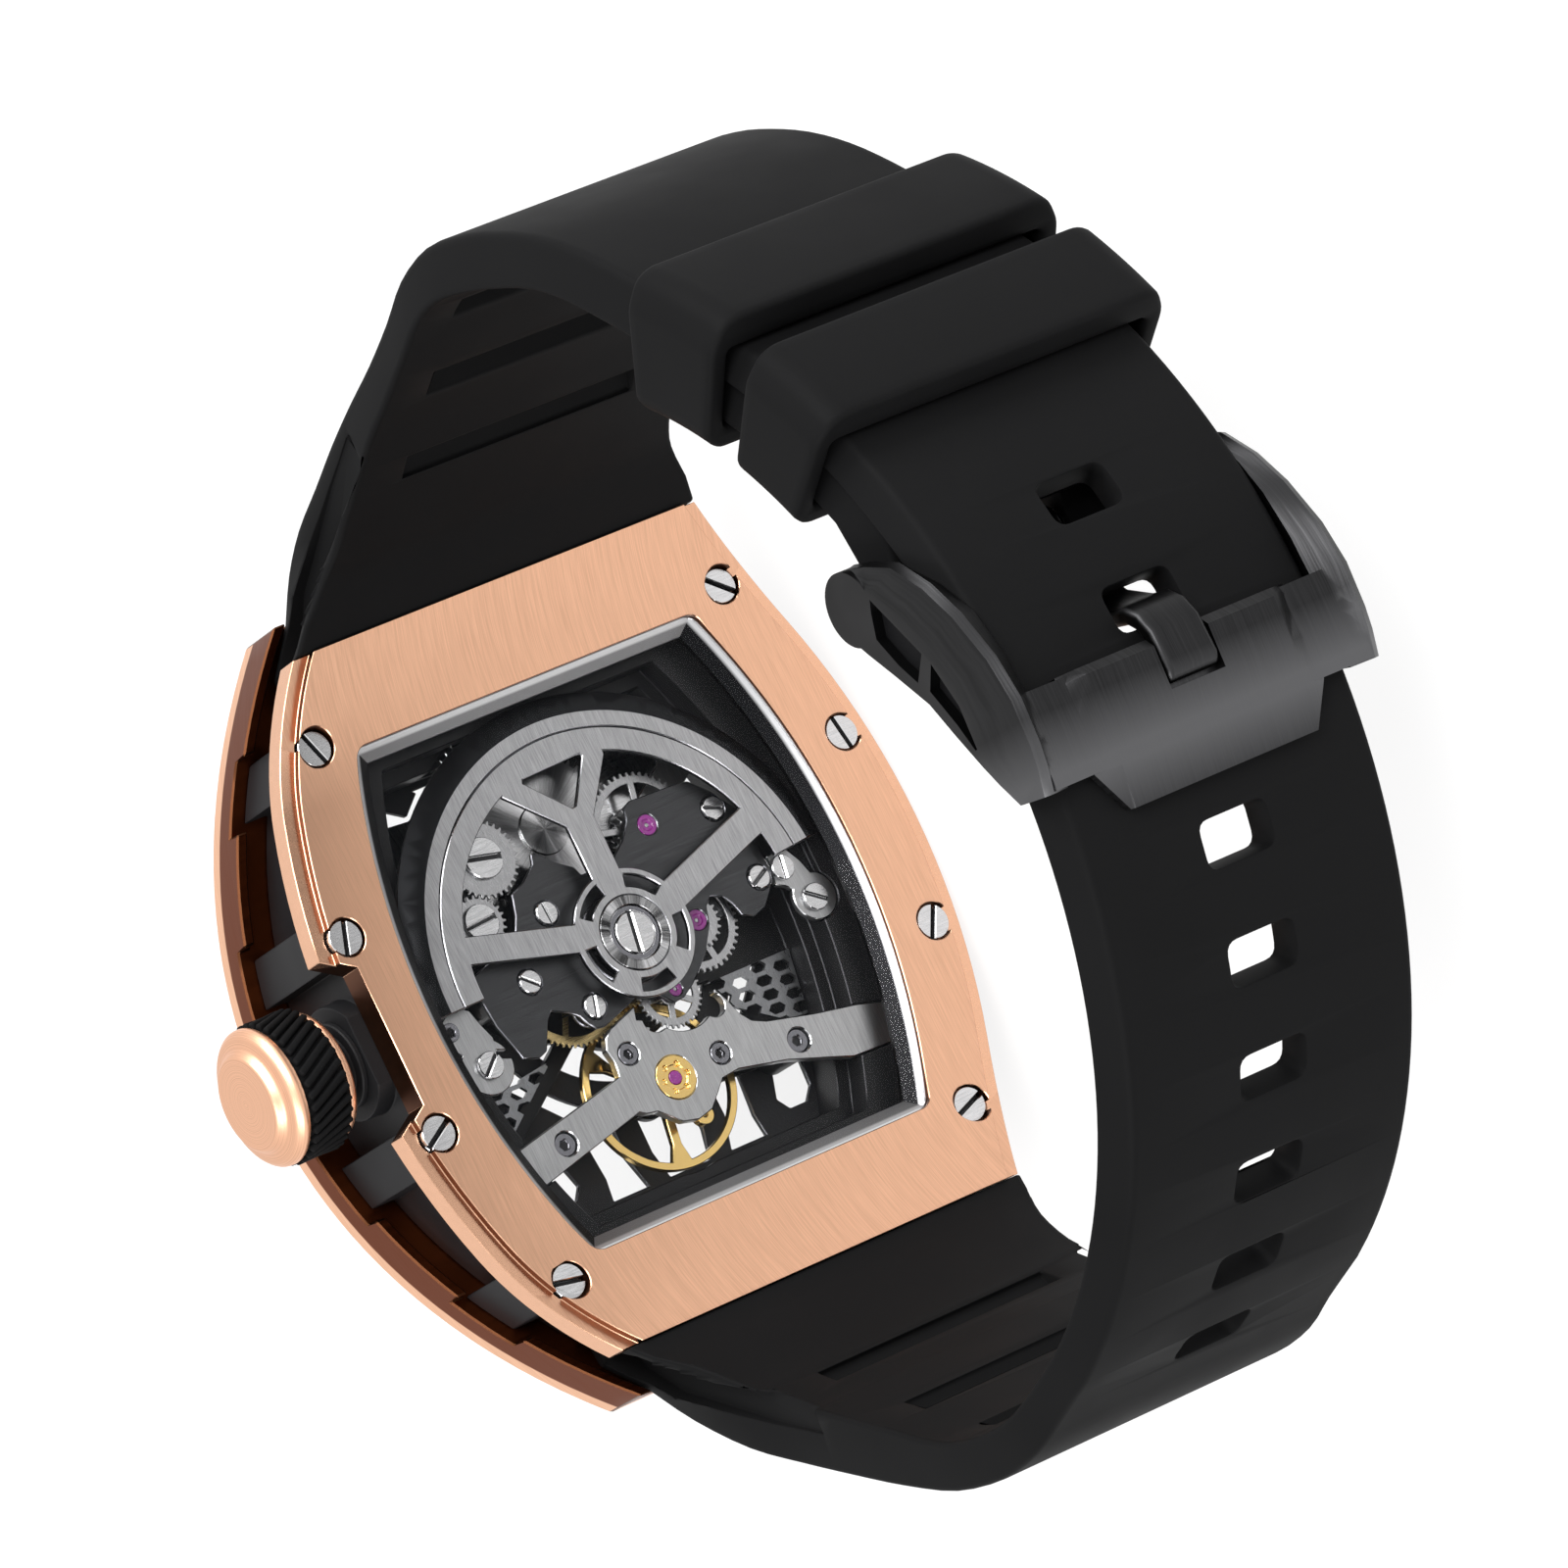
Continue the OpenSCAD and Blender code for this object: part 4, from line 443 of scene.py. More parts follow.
def make_finishes():
    """Every finish once, by the name of its use."""
    c, _ = settings()
    crown = case_point(GRIP_X, 0, CROWN_Z)
    FINISHES.update({
        "back_gold": brushed("caseback brushed gold", c.rose_gold, (2.6, 2.6, 0.05),
                             (0.28, 0.4), 0.09, 0.0015),
        # The bezel's second colour is painted shade, a millimetre and more under its arched front
        "bezel_gold": bezel_metal("bezel satin gold", c.bezel_gold, (0.15, 0.037, 0.011)),
        # Painted shade: the caseback's chamfers in a darker copy of the rose gold
        "gold_bevel": polished("gold bevel", shade_of(c.rose_gold, 0.8), 0.2),
        # Painted shade: near-black gold on the caseback's step walls and on the bezel's chamfers
        "gold_edge": polished("gold chamfer", (0.12, 0.045, 0.02), 0.3),
        # Polished rim; its colour a little lighter than the rose gold is a painted highlight
        "gold_rim": polished("gold rim", shade_of(c.rose_gold, 1.08), 0.24),
        "slot": coated("screw slot shade", (0.03, 0.03, 0.032), 0.4, 0.2, 0.002, 0.2),
        "bearing": sunburst("bearing ring steel", (0.62, 0.62, 0.63), ROTOR, 1.6, 0.2, 0.06),
        # The window ring's far colour is painted shade beyond its lip; its near colour is the ring's own
        # silver
        "ring_wall": ring_metal("window ring wall", (0.012, 0.012, 0.013),
                                (0.72, 0.72, 0.73), 0.3),
        "crown_gold": turned("crown turned gold", c.rose_gold, crown, 2, rough=(0.32, 0.46)),
        "yellow_gold": polished("balance gold", c.yellow_gold, 0.14),
        "screw": brushed("screw steel", shade_of(c.steel, 0.9), (0.05, 3, 1.2), (0.2, 0.34), 0.12),
        "steel": polished("polished steel", c.steel, 0.1),
        "wheel": brushed("wheel satin steel", (0.44, 0.44, 0.45), (0.5, 0.5, 0.05),
                         (0.24, 0.36), 0.14, 0.001),
        # Painted shade beyond the lip here too, over the ring's own silver
        "ring": ring_metal("window ring silver", (0.26, 0.26, 0.265),
                           (0.72, 0.72, 0.73), 0.28),
        "rotor": brushed("rotor cross brushed grey", c.rotor_grey, (1.4, 1.4, 0.045),
                         (0.28, 0.42), 0.2, 0.002),
        "rotor_edge": polished("rotor chamfer", (0.40, 0.40, 0.42), 0.2),
        "skirt": brushed("rotor skirt black", (0.022, 0.0225, 0.024), (2.4, 2.4, 0.06),
                         (0.34, 0.46), 0.2, 0.002),
        "dark_bridge": brushed("dark satin bridge", c.bridge_dark, (0.06, 1.5, 1.8),
                               (0.34, 0.46), 0.16, 0.002),
        "dark_edge": polished("dark bridge chamfer", (0.22, 0.22, 0.24), 0.22),
        "cock": brushed("grey satin cock", (0.46, 0.462, 0.468), (1.6, 1.6, 0.05),
                        (0.3, 0.42), 0.14, 0.002),
        "cock_edge": polished("cock chamfer", (0.68, 0.69, 0.70), 0.12),
        # Painted reflection: the bright and dark sectors of the barrel and the ratchet
        "barrel": sunburst("snailed barrel", (0.80, 0.80, 0.81), BARREL),
        "ratchet": sunburst("sunburst ratchet", (0.72, 0.72, 0.73), BARREL, 12),
        "brass": brushed("gilt wheel", (0.62, 0.47, 0.22), (0.06, 2, 2), (0.22, 0.36), 0.12),
        "case_black": coated("case middle black", (0.011, 0.011, 0.012), 0.46, 0.1, 0.006, 0.2),
        "plate_black": coated("mainplate black", (0.011, 0.011, 0.012), 0.4, 0.1, 0.006, 0.25),
        "plate_edge": polished("mainplate edge", (0.032, 0.032, 0.034), 0.3),
        "dial_black": coated("grained dial black", (0.022, 0.022, 0.024), 0.5, 0.22, 0.05),
        "mesh": brushed("silver mesh", (0.26, 0.265, 0.275), (0.6, 0.6, 0.08), (0.26, 0.4), 0.1),
        "ruby": stone("ruby", c.ruby),
        "crystal": crystal("sapphire"),
        "rubber": rubber_material("strap rubber", c.rubber),
        "grip": rubber_material("crown grip rubber", shade_of(c.rubber, 1.1)),
        # The buckle's lighter colour is the painted highlight round the crossbar's crest
        "buckle": buckle_steel("buckle black steel", c.buckle, shade_of(c.buckle, 4.2)),
        "buckle_edge": polished("buckle edge", shade_of(c.buckle, 1.5), 0.36),
        "window_black": coated("buckle window black", (0.004, 0.004, 0.0045), 0.6, 0.2, 0.002, 0.1),
        "spring": polished("blued spring", (0.10, 0.16, 0.34), 0.2),
        "white": coated("hand white", (0.75, 0.74, 0.71), 0.3, 0.2, 0.002),
        "red": coated("seconds hand red", (0.55, 0.04, 0.025), 0.3, 0.2, 0.002),
    })


# Modelling helpers

# Vertices closer than this are one, in metres
MERGE = 0.0000015
# Chamfers of the pieces, in metres
TOOTH_EDGE = 0.02 * MM
STONE_EDGE = 0.03 * MM
BEARING_EDGE = 0.04 * MM
SCREW_EDGE = 0.05 * MM
PIN_EDGE = 0.06 * MM
SEAT_EDGE = 0.08 * MM
BUCKLE_EDGE = 0.12 * MM
CAP_EDGE = 0.14 * MM
MIDDLE_EDGE = 0.15 * MM
TONGUE_EDGE = 0.3 * MM
# A face stands where y of its normal is under the first limit, and slopes where it is under the
# others
STANDING, FUNNEL, SLOPING = 0.4, 0.97, 0.985
# Millimetres: the caseback's low rim lies under this y, and its outer walls within this of the
# flank's arc
RIM_TOP, RIM_WIDE = -0.1, 0.5
# Floors of the buckle's blind windows: the least share of z in their normal, and their z between
WINDOW_FACING, WINDOW_FLOOR = 0.95, (11.8, 12.0)
# Slots in screw heads lie between these depths under the head's top, in metres, and within this
# share of its radius
SLOT_HIGH, SLOT_LOW, SLOT_REACH = 0.00004, 0.0006, 0.9
# Two face centres nearer than this are one, in metres
SAME_SPOT = 0.00001
# Faces that turn less than this many degrees are dissolved into one before a chamfer
FLAT_TURN = 0.6
# A rounded corner takes at most this share of the sides beside it
CORNER_SHARE = 0.45


def deselect():
    for obj in list(bpy.context.selected_objects):
        obj.select_set(False)


def select_only(obj):
    deselect()
    bpy.context.view_layer.objects.active = obj
    obj.select_set(True)


def apply_modifier(obj, kind, **values):
    select_only(obj)
    modifier = obj.modifiers.new(kind.title(), kind)
    for key, value in values.items():
        setattr(modifier, key, value)
    bpy.ops.object.modifier_apply(modifier=modifier.name)


def soften(obj, width, segments=2, angle=30, material=-1, clamp=False):
    """Rounds the edges that turn more than this angle."""
    apply_modifier(obj, "BEVEL", width=width, segments=segments, limit_method="ANGLE",
                   angle_limit=radians(angle), use_clamp_overlap=clamp, material=material,
                   miter_outer="MITER_ARC" if segments > 2 else "MITER_SHARP")


def shade(obj, angle=32):
    select_only(obj)
    bpy.ops.object.shade_smooth_by_angle(angle=radians(angle))


def place(obj, name, node, *finishes):
    """The piece takes its name, its finishes and the body of the node it stands for."""
    obj.name = name
    obj.data.name = name
    if len(obj.data.materials) == 0:
        for finish in finishes:
            obj.data.materials.append(FINISHES[finish])
    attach(obj, BODY[node])
    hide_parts(node)
    return obj


def dressed(node, finish, edge=0.0, edge_finish=None, angle=30, smooth=30, segments=1,
            parts=(), clamp=False):
    """A merged copy of a CAD node with its edges chamfered, which stands for that node.

    Each of the parts is a finish and a test that picks its faces by their normal and centre."""
    obj = bpy.data.objects.new(node + "_dressed", NODES[node].data.copy())
    bpy.context.scene.collection.objects.link(obj)
    obj.data.materials.clear()
    for each in (finish, edge_finish or finish, *(part[0] for part in parts)):
        obj.data.materials.append(FINISHES[each])
    for polygon in obj.data.polygons:
        polygon.material_index = next((k for k, part in enumerate(parts, 2) if part[1](
            polygon.normal, polygon.center)), 0)
    select_only(obj)
    bpy.ops.mesh.customdata_custom_splitnormals_clear()
    bpy.ops.object.mode_set(mode="EDIT")
    bpy.ops.mesh.select_all(action="SELECT")
    bpy.ops.mesh.remove_doubles(threshold=MERGE)
    if edge:
        bpy.ops.mesh.dissolve_limited(angle_limit=radians(FLAT_TURN), delimit={"MATERIAL"})
    bpy.ops.mesh.select_all(action="DESELECT")
    bpy.ops.object.mode_set(mode="OBJECT")
    if edge:
        soften(obj, edge, segments, angle, 1 if edge_finish else -1, clamp)
    shade(obj, smooth)
    if edge:
        apply_modifier(obj, "WEIGHTED_NORMAL", keep_sharp=True)
    return place(obj, node + "_dressed", node)


def is_wall(normal, centre):
    """Faces that stand on the movement's plane."""
    return abs(normal.y) < STANDING


def is_back_rim(normal, centre):
    """The caseback's outer walls and the lower rim along its flanks."""
    inset = FLANK_R - sqrt((abs(centre.z) / MM + FLANK_X) ** 2 + (centre.x / MM) ** 2)
    low = normal.y > STANDING and centre.y < RIM_TOP * MM
    return low or (abs(normal.y) < STANDING and inset < RIM_WIDE)


def is_flank_funnel(normal, centre):
    """Slopes and walls of the window ring along its two long sides."""
    return abs(normal.y) < FUNNEL and abs(normal.z) > abs(normal.x)


def is_buckle_window(normal, centre):
    """Floors of the blind windows in the buckle's arms."""
    return abs(normal.z) > WINDOW_FACING and WINDOW_FLOOR[0] < abs(centre.z) / MM < WINDOW_FLOOR[1]


def is_slope(normal, centre):
    """Faces that don't lie flat toward the wrist."""
    return normal.y < SLOPING


def islands(mesh):
    """A mesh's faces in groups that hang together."""
    found, seen = [], set()
    for start in mesh.faces:
        if start in seen:
            continue
        island, queue = [], [start]
        seen.add(start)
        while queue:
            face = queue.pop()
            island.append(face)
            for other in (o for edge in face.edges for o in edge.link_faces):
                if other not in seen:
                    seen.add(other)
                    queue.append(other)
        found.append(island)
    return found


def screw_slots(node, toward):
    """A test for faces sunk into a node's screw heads; toward is the sign of y on their tops."""
    mesh = bmesh.new()
    mesh.from_mesh(NODES[node].data)
    bmesh.ops.remove_doubles(mesh, verts=mesh.verts, dist=MERGE)
    sunk = []
    for island in islands(mesh):
        spots = [v.co for face in island for v in face.verts]
        left, right = min(p.x for p in spots), max(p.x for p in spots)
        middle = (left + right) / 2, (min(p.z for p in spots) + max(p.z for p in spots)) / 2
        top = max(p.y * toward for p in spots)
        for face in island:
            where = face.calc_center_median()
            away = sqrt((where.x - middle[0]) ** 2 + (where.z - middle[1]) ** 2)
            height = where.y * toward
            if top - SLOT_LOW < height < top - SLOT_HIGH and face.normal.y * toward > -0.5 \
                    and away < (right - left) / 2 * SLOT_REACH:
                sunk.append(where)
    mesh.free()
    return lambda normal, centre: any((centre - spot).length < SAME_SPOT for spot in sunk)


def lofted(name, rings):
    """A closed form through rings of equally many points, one extrusion for each ring."""
    bpy.ops.mesh.primitive_circle_add(vertices=len(rings[0]), radius=MM, fill_type="NGON")
    obj = bpy.context.object
    obj.name = name
    select_only(obj)
    bpy.ops.object.mode_set(mode="EDIT")
    mesh = bmesh.from_edit_mesh(obj.data)
    mesh.verts.ensure_lookup_table()
    for vert, point in zip(mesh.verts, rings[0]):
        vert.co = point
    bmesh.update_edit_mesh(obj.data)
    for before, after in zip(rings, rings[1:]):
        bpy.ops.mesh.extrude_region_move(TRANSFORM_OT_translate={"value": (0, 0, 0)})
        mesh = bmesh.from_edit_mesh(obj.data)
        spots = {tuple(round(c, 8) for c in p): q for p, q in zip(before, after)}
        for vert in mesh.verts:
            if vert.select:
                vert.co = spots[min(spots, key=lambda k: (Vector(k) - vert.co).length_squared)]
        bmesh.update_edit_mesh(obj.data)
    bpy.ops.mesh.select_all(action="SELECT")
    bpy.ops.mesh.normals_make_consistent(inside=False)
    bpy.ops.mesh.select_all(action="DESELECT")
    bpy.ops.object.mode_set(mode="OBJECT")
    return obj


def rounded(corners, radii, steps=4):
    """Corner points of a flat outline, each corner eased over its own radius."""
    points = []
    count = len(corners)
    for i, corner in enumerate(corners):
        here = Vector(corner)
        back = Vector(corners[i - 1]) - here
        on = Vector(corners[(i + 1) % count]) - here
        p = here + back.normalized() * min(radii[i], back.length * CORNER_SHARE)
        q = here + on.normalized() * min(radii[i], on.length * CORNER_SHARE)
        for k in range(steps + 1):
            t = k / steps
            points.append((1 - t) ** 2 * p + 2 * t * (1 - t) * here + t * t * q)
    return points


def strap_ring(row, r_in, r_out):
    """Section of the strap: row holds outer y z, inner y z and both half widths."""
    yo, zo, yi, zi, wide, narrow = row
    h = sqrt((yo - yi) ** 2 + (zo - zi) ** 2)
    flat = rounded([(-wide, 0), (wide, 0), (narrow, h), (-narrow, h)], [r_in, r_in, r_out, r_out])
    return [case_point(u, yi + (yo - yi) * v / h, zi + (zo - zi) * v / h) for u, v in flat]


def eased(rows, steps):
    """A smooth run through the rows of a table."""
    made = []
    last = len(rows) - 1
    for i in range(last):
        a, b, c, d = rows[max(i - 1, 0)], rows[i], rows[i + 1], rows[min(i + 2, last)]
        for k in range(steps):
            t = k / steps
            made.append([
                0.5 * (2 * q + (r - p) * t + (2 * p - 5 * q + 4 * r - s) * t * t
                       + (3 * q - p - 3 * r + s) * t ** 3)
                for p, q, r, s in zip(a, b, c, d)])
    made.append(list(rows[last]))
    return made


def arc_row(outer, inner, angle, wide, narrow):
    a = radians(angle)
    return [LOOP_Y + outer * sin(a), LOOP_Z - outer * cos(a),
            LOOP_Y + inner * sin(a), LOOP_Z - inner * cos(a), wide, narrow]


def prism(name, outline, x0, x1, r=0.0):
    """Outline in the y z plane of the case, drawn out along x."""
    flat = rounded(outline, [r] * len(outline), 3) if r else [Vector(p) for p in outline]
    return lofted(name, [[case_point(x, p[0], p[1]) for p in flat] for x in (x0, x1)])


def cut(obj, *tools):
    for tool in tools:
        apply_modifier(obj, "BOOLEAN", operation="DIFFERENCE", object=tool, solver="EXACT")
        bpy.data.objects.remove(tool)


def joined(objects):
    select_only(objects[0])
    for o in objects:
        o.select_set(True)
    bpy.ops.object.join()
    return bpy.context.object


def copy_of(obj, matrix):
    other = obj.copy()
    other.data = obj.data.copy()
    other.data.transform(matrix)
    bpy.context.scene.collection.objects.link(other)
    return other


def about_loop(angle):
    """Turns a piece round the strap's loop by this angle."""
    centre = case_point(0, LOOP_Y, LOOP_Z)
    return Matrix.Translation(centre) @ Matrix.Rotation(radians(angle), 4, "Z") \
        @ Matrix.Translation(-centre)


# Strap
WIDE, NARROW = 11.2, 10.3
TAIL_OUT, TAIL_IN = 36.9, 34.7
HOLE_START, HOLE_STEP = 3.7, 10.87
CUT_EDGE = 0.14 * MM
# Axis and radius of the spring bar's bore
PIN_Y, PIN_Z, PIN_R = 6.8, -54.0, 0.8
# Rows under the case at 12 o'clock, as strap_ring reads them
CLAMP = (
    (20.62, 5.35, 20.62, 0.95, 13.1, 13.0),
    (22.52, 4.30, 22.52, 0.02, 14.0, 13.4),
    (22.56, 4.25, 22.56, -2.35, 15.0, 13.4))
# Middles of the slots across each half, and their turn in degrees
BUCKLE_HALF_SLOTS = ((29.3, -11.9, -35), (32.4, -18.4, -25), (34.95, -24.7, -18))
HOLE_HALF_SLOTS = ((-29.2, -10.5, 33), (-33.1, -17.8, 25), (-36.0, -24.0, 18))
# Each keeper's first and last angle round the loop
KEEPERS = (("fixed_keeper", 27.8, 37.8), ("sliding_keeper", 42.2, 54.0))


def clamp_rows(side):
    """Rows under the case: side is 1 toward 12 o'clock and -1 toward 6 o'clock."""
    return [[side * yo, zo, side * yi, zi, wide, narrow] for yo, zo, yi, zi, wide, narrow in CLAMP]


def oblong(low, high, half):
    """Corners of a rectangle from low to high and half to each side."""
    return [(low, -half), (high, -half), (high, half), (low, half)]


def slot_cutters(places):
    """Long slots across the wrist side of the strap."""
    made = []
    for y, z, turn in places:
        tool = prism("slot", oblong(-0.8, 0.8, 0.75), -8.5, 8.5, 0.25)
        tool.data.transform(Matrix.Translation(case_point(0, y, z))
                            @ Matrix.Rotation(radians(turn), 4, "Z"))
        made.append(tool)
    return made


def flank_cutters(side):
    """Recesses along both flanks of the strap beside the case."""
    outline = [(side * y, z) for y, z in (
        (21.6, 3.4), (23.8, 2.4), (26.2, -0.4), (28.2, -4.4), (30.3, -8.4), (32.2, -12.6),
        (30.3, -13.4), (28.4, -9.2), (26.6, -5.6), (24.6, -3.2), (23.2, -1.9), (21.6, 1.2))]
    return [prism("recess", outline, 11.5, 17.0), prism("recess", outline, -17.0, -11.5)]


def finish_half(obj, piece, node, slots, side, *tools):
    """Cuts a strap half with the tools, its slots and recesses, and rounds what they leave."""
    cut(obj, *tools, *slot_cutters(slots), *flank_cutters(side))
    soften(obj, CUT_EDGE, 2, 50)
    shade(obj, 40)
    place(obj, piece, node, "rubber")


class WATCH_OT_buckle_strap(bpy.types.Operator):
    """Model the strap half that carries the buckle"""

    bl_idname = "watch.buckle_strap"
    bl_label = "Buckle Strap"

    def execute(self, context):
        _, sizes = settings()
        edge = sizes.strap_edge / MM
        body = [
            [25.2, 2.55, 23.9, -3.7, 14.4, 12.0],
            [27.6, -0.1, 25.6, -5.5, 13.2, 11.9],
            [29.4, -3.2, 26.7, -7.3, 12.6, 11.9],
            [31.0, -6.5, 27.9, -9.3, 12.4, 11.5],
            [32.5, -9.9, 29.3, -11.9, 12.2, 11.3],
            [33.8, -13.3, 30.9, -14.9, 12.0, 11.1],
            [35.0, -16.8, 32.2, -18.0, 11.8, 10.9],
            [36.4, -20.2, 33.6, -21.2, 11.6, 10.7],
            [37.9, -23.5, 34.9, -24.3, 11.5, 10.6],
            [38.5, -27.1, 35.3, -27.0, 11.4, 10.5],
            [37.9, -30.8, 34.8, -29.9, 11.3, 10.4],
            [36.8, -34.2, 33.8, -33.2, WIDE, NARROW],
            [35.3, -37.6, 32.6, -36.3, WIDE, NARROW],
            [33.4, -40.7, 31.0, -38.9, WIDE, NARROW],
            [31.1, -43.6, 28.8, -41.5, WIDE, NARROW],
            arc_row(37.3, 34.2, 55.2, WIDE, NARROW)]
        step = [
            arc_row(36.6, 33.2, 53.4, WIDE - 0.05, NARROW),
            arc_row(34.6, 32.6, 51.9, WIDE - 0.05, NARROW)]
        under = [arc_row(34.6, 32.0, a, WIDE - 0.05, NARROW) for a in range(49, 23, -3)]
        end = [
            arc_row(33.6, 29.9, 20.5, NARROW - 0.1, NARROW - 0.3),
            arc_row(31.95, 28.75, 17.2, NARROW - 0.1, NARROW - 0.3),
            arc_row(31.5, 29.1, 14.6, NARROW - 0.1, NARROW - 0.3)]
        rows = clamp_rows(1) + eased(body, 3) + step + under + end
        obj = lofted("strap_12h", [strap_ring(r, edge, edge * 1.2) for r in rows])
        turns = [2 * pi * k / 24 for k in range(24)]
        pin = prism("pin", [(PIN_Y + PIN_R * cos(a), PIN_Z + PIN_R * sin(a)) for a in turns], -20, 20)
        tongue = prism("tongue_slot", [(8.55, -49.85), (12.07, -58.14), (3.01, -60.65),
                                       (1.76, -51.74)], -2.2, 2.2)
        finish_half(obj, "strap_buckle_half", "strap_12h", BUCKLE_HALF_SLOTS, 1, pin, tongue)
        return {"FINISHED"}


class WATCH_OT_hole_strap(bpy.types.Operator):
    """Model the strap half with the row of holes"""

    bl_idname = "watch.hole_strap"
    bl_label = "Hole Strap"

    def execute(self, context):
        _, sizes = settings()
        edge = sizes.strap_edge / MM
        body = [
            [-25.2, 2.55, -23.7, -3.4, 14.4, 12.0],
            [-28.0, -0.3, -25.4, -5.4, 13.2, 11.9],
            [-31.0, -4.5, -27.5, -8.0, 12.5, 11.8],
            [-33.2, -8.5, -29.4, -10.9, 12.2, 11.4],
            [-35.2, -12.7, -31.4, -14.6, 12.0, 11.2],
            [-37.1, -16.9, -33.5, -18.7, 11.8, 11.0],
            [-38.7, -21.3, -35.6, -22.8, 11.6, 10.8],
            [-39.3, -25.9, -36.4, -26.1, 11.4, 10.6],
            [-38.95, -30.0, -36.45, -29.8, 11.3, 10.5],
            arc_row(TAIL_OUT, TAIL_IN, -77, WIDE, NARROW),
            arc_row(TAIL_OUT, TAIL_IN, -70, WIDE, NARROW)]
        tail = [arc_row(TAIL_OUT, TAIL_IN, a, WIDE, NARROW) for a in range(-67, 52, 2)]
        rows = clamp_rows(-1) + eased(body, 3) + tail
        obj = lofted("strap_6h", [strap_ring(r, edge * 0.8, edge * 0.9) for r in rows])
        first = lofted("hole", [
            [loop_point(u, radius, 0) + Vector((-v * MM, 0, 0)) for u, v in
             rounded(oblong(-2.4, 2.4, 1.4), [0.75] * 4)]
            for radius in (32.0, 39.0)])
        holes = joined([copy_of(first, about_loop(HOLE_START - HOLE_STEP * k))
                        for k in range(-1, 8)])
        bpy.data.objects.remove(first)
        finish_half(obj, "strap_hole_half", "strap_6h", HOLE_HALF_SLOTS, -1, holes)
        return {"FINISHED"}


class WATCH_OT_keepers(bpy.types.Operator):
    """Model the fixed and the sliding keeper"""

    bl_idname = "watch.keepers"
    bl_label = "Keepers"

    def execute(self, context):
        _, sizes = settings()
        outline = [(30.6, -11.6), (31.6, -12.6), (37.2, -12.6), (38.7, -11.9), (39.2, -10.9),
                   (39.2, 10.9), (38.7, 11.9), (37.2, 12.6), (31.6, 12.6), (30.6, 11.6)]
        outer = rounded(outline, [0.5] * len(outline), 3)
        inner = rounded(oblong(31.93, 37.05, 11.3), [0.5] * 4)
        for node, start, end in KEEPERS:
            angles = [start + (end - start) * k / 8 for k in range(9)]
            obj = lofted(node, [[loop_point(x, r, a) for r, x in outer] for a in angles])
            hole = lofted("hole", [[loop_point(x, r, a) for r, x in inner]
                                   for a in (start - 1, *angles[1:-1], end + 1)])
            cut(obj, hole)
            soften(obj, sizes.keeper_edge, 3, 55)
            shade(obj, 40)
            place(obj, node + "_moulded", node, "rubber")
        return {"FINISHED"}


# Case and crown

# Each screw node, and the sign of y on its heads' tops
SCREWS = (("caseback_screws", 1), ("bezel_screws", -1), ("bridge_screws", 1),
          ("winding_screws", 1), ("rotor_screw", 1), ("cock_screws", 1))
# The crown's rubber grip, in millimetres: its radius, bore and length, and the size, turn in
# degrees and distance from the axis of its ridges
GRIP_R, GRIP_BORE, GRIP_LONG = 4.08, 3.44, 3.06
RIDGE_SIZE, RIDGE_TURN, RIDGE_AWAY = (0.62, 0.44, 3.15), 27, 4.1
# The gasket's place along the crown's axis, its radius and its wire's
GASKET_X, GASKET_R, GASKET_WIRE = 23.05, 2.16, 0.11


class WATCH_OT_case(bpy.types.Operator):
    """Finish the caseback, the middle, the bezel, the window ring and the crystals"""

    bl_idname = "watch.case"
    bl_label = "Case"

    def execute(self, context):
        _, sizes = settings()
        # Painted shade on the caseback's walls and chamfers, a painted highlight on its rim
        dressed("caseback", "back_gold", 0.4 * sizes.case_edge, "gold_bevel", 50,
                parts=(("gold_rim", is_back_rim), ("gold_edge", is_wall)))
        dressed("front_bezel", "bezel_gold", sizes.case_edge, "gold_edge", 50)
        dressed("case_middle", "case_black", MIDDLE_EDGE, angle=40, segments=2)
        dressed("back_window_ring", "ring", parts=(("ring_wall", is_flank_funnel),))
        dressed("back_crystal", "crystal")
        dressed("front_crystal", "crystal")
        dressed("flange", "plate_black", SEAT_EDGE)
        return {"FINISHED"}


class WATCH_OT_screws(bpy.types.Operator):
    """Finish the slotted screws of the case and of the movement"""

    bl_idname = "watch.screws"
    bl_label = "Screws"

    def execute(self, context):
        for node, toward in SCREWS:
            dark = node == "cock_screws"
            dressed(node, "dark_edge" if dark else "screw", SCREW_EDGE,
                    "dark_edge" if dark else "steel",
                    parts=(("slot", screw_slots(node, toward)),))
        return {"FINISHED"}


def settled():
    """The primitive just added, with its place in its mesh."""
    bpy.ops.object.transform_apply(location=True, rotation=True, scale=True)
    return bpy.context.object


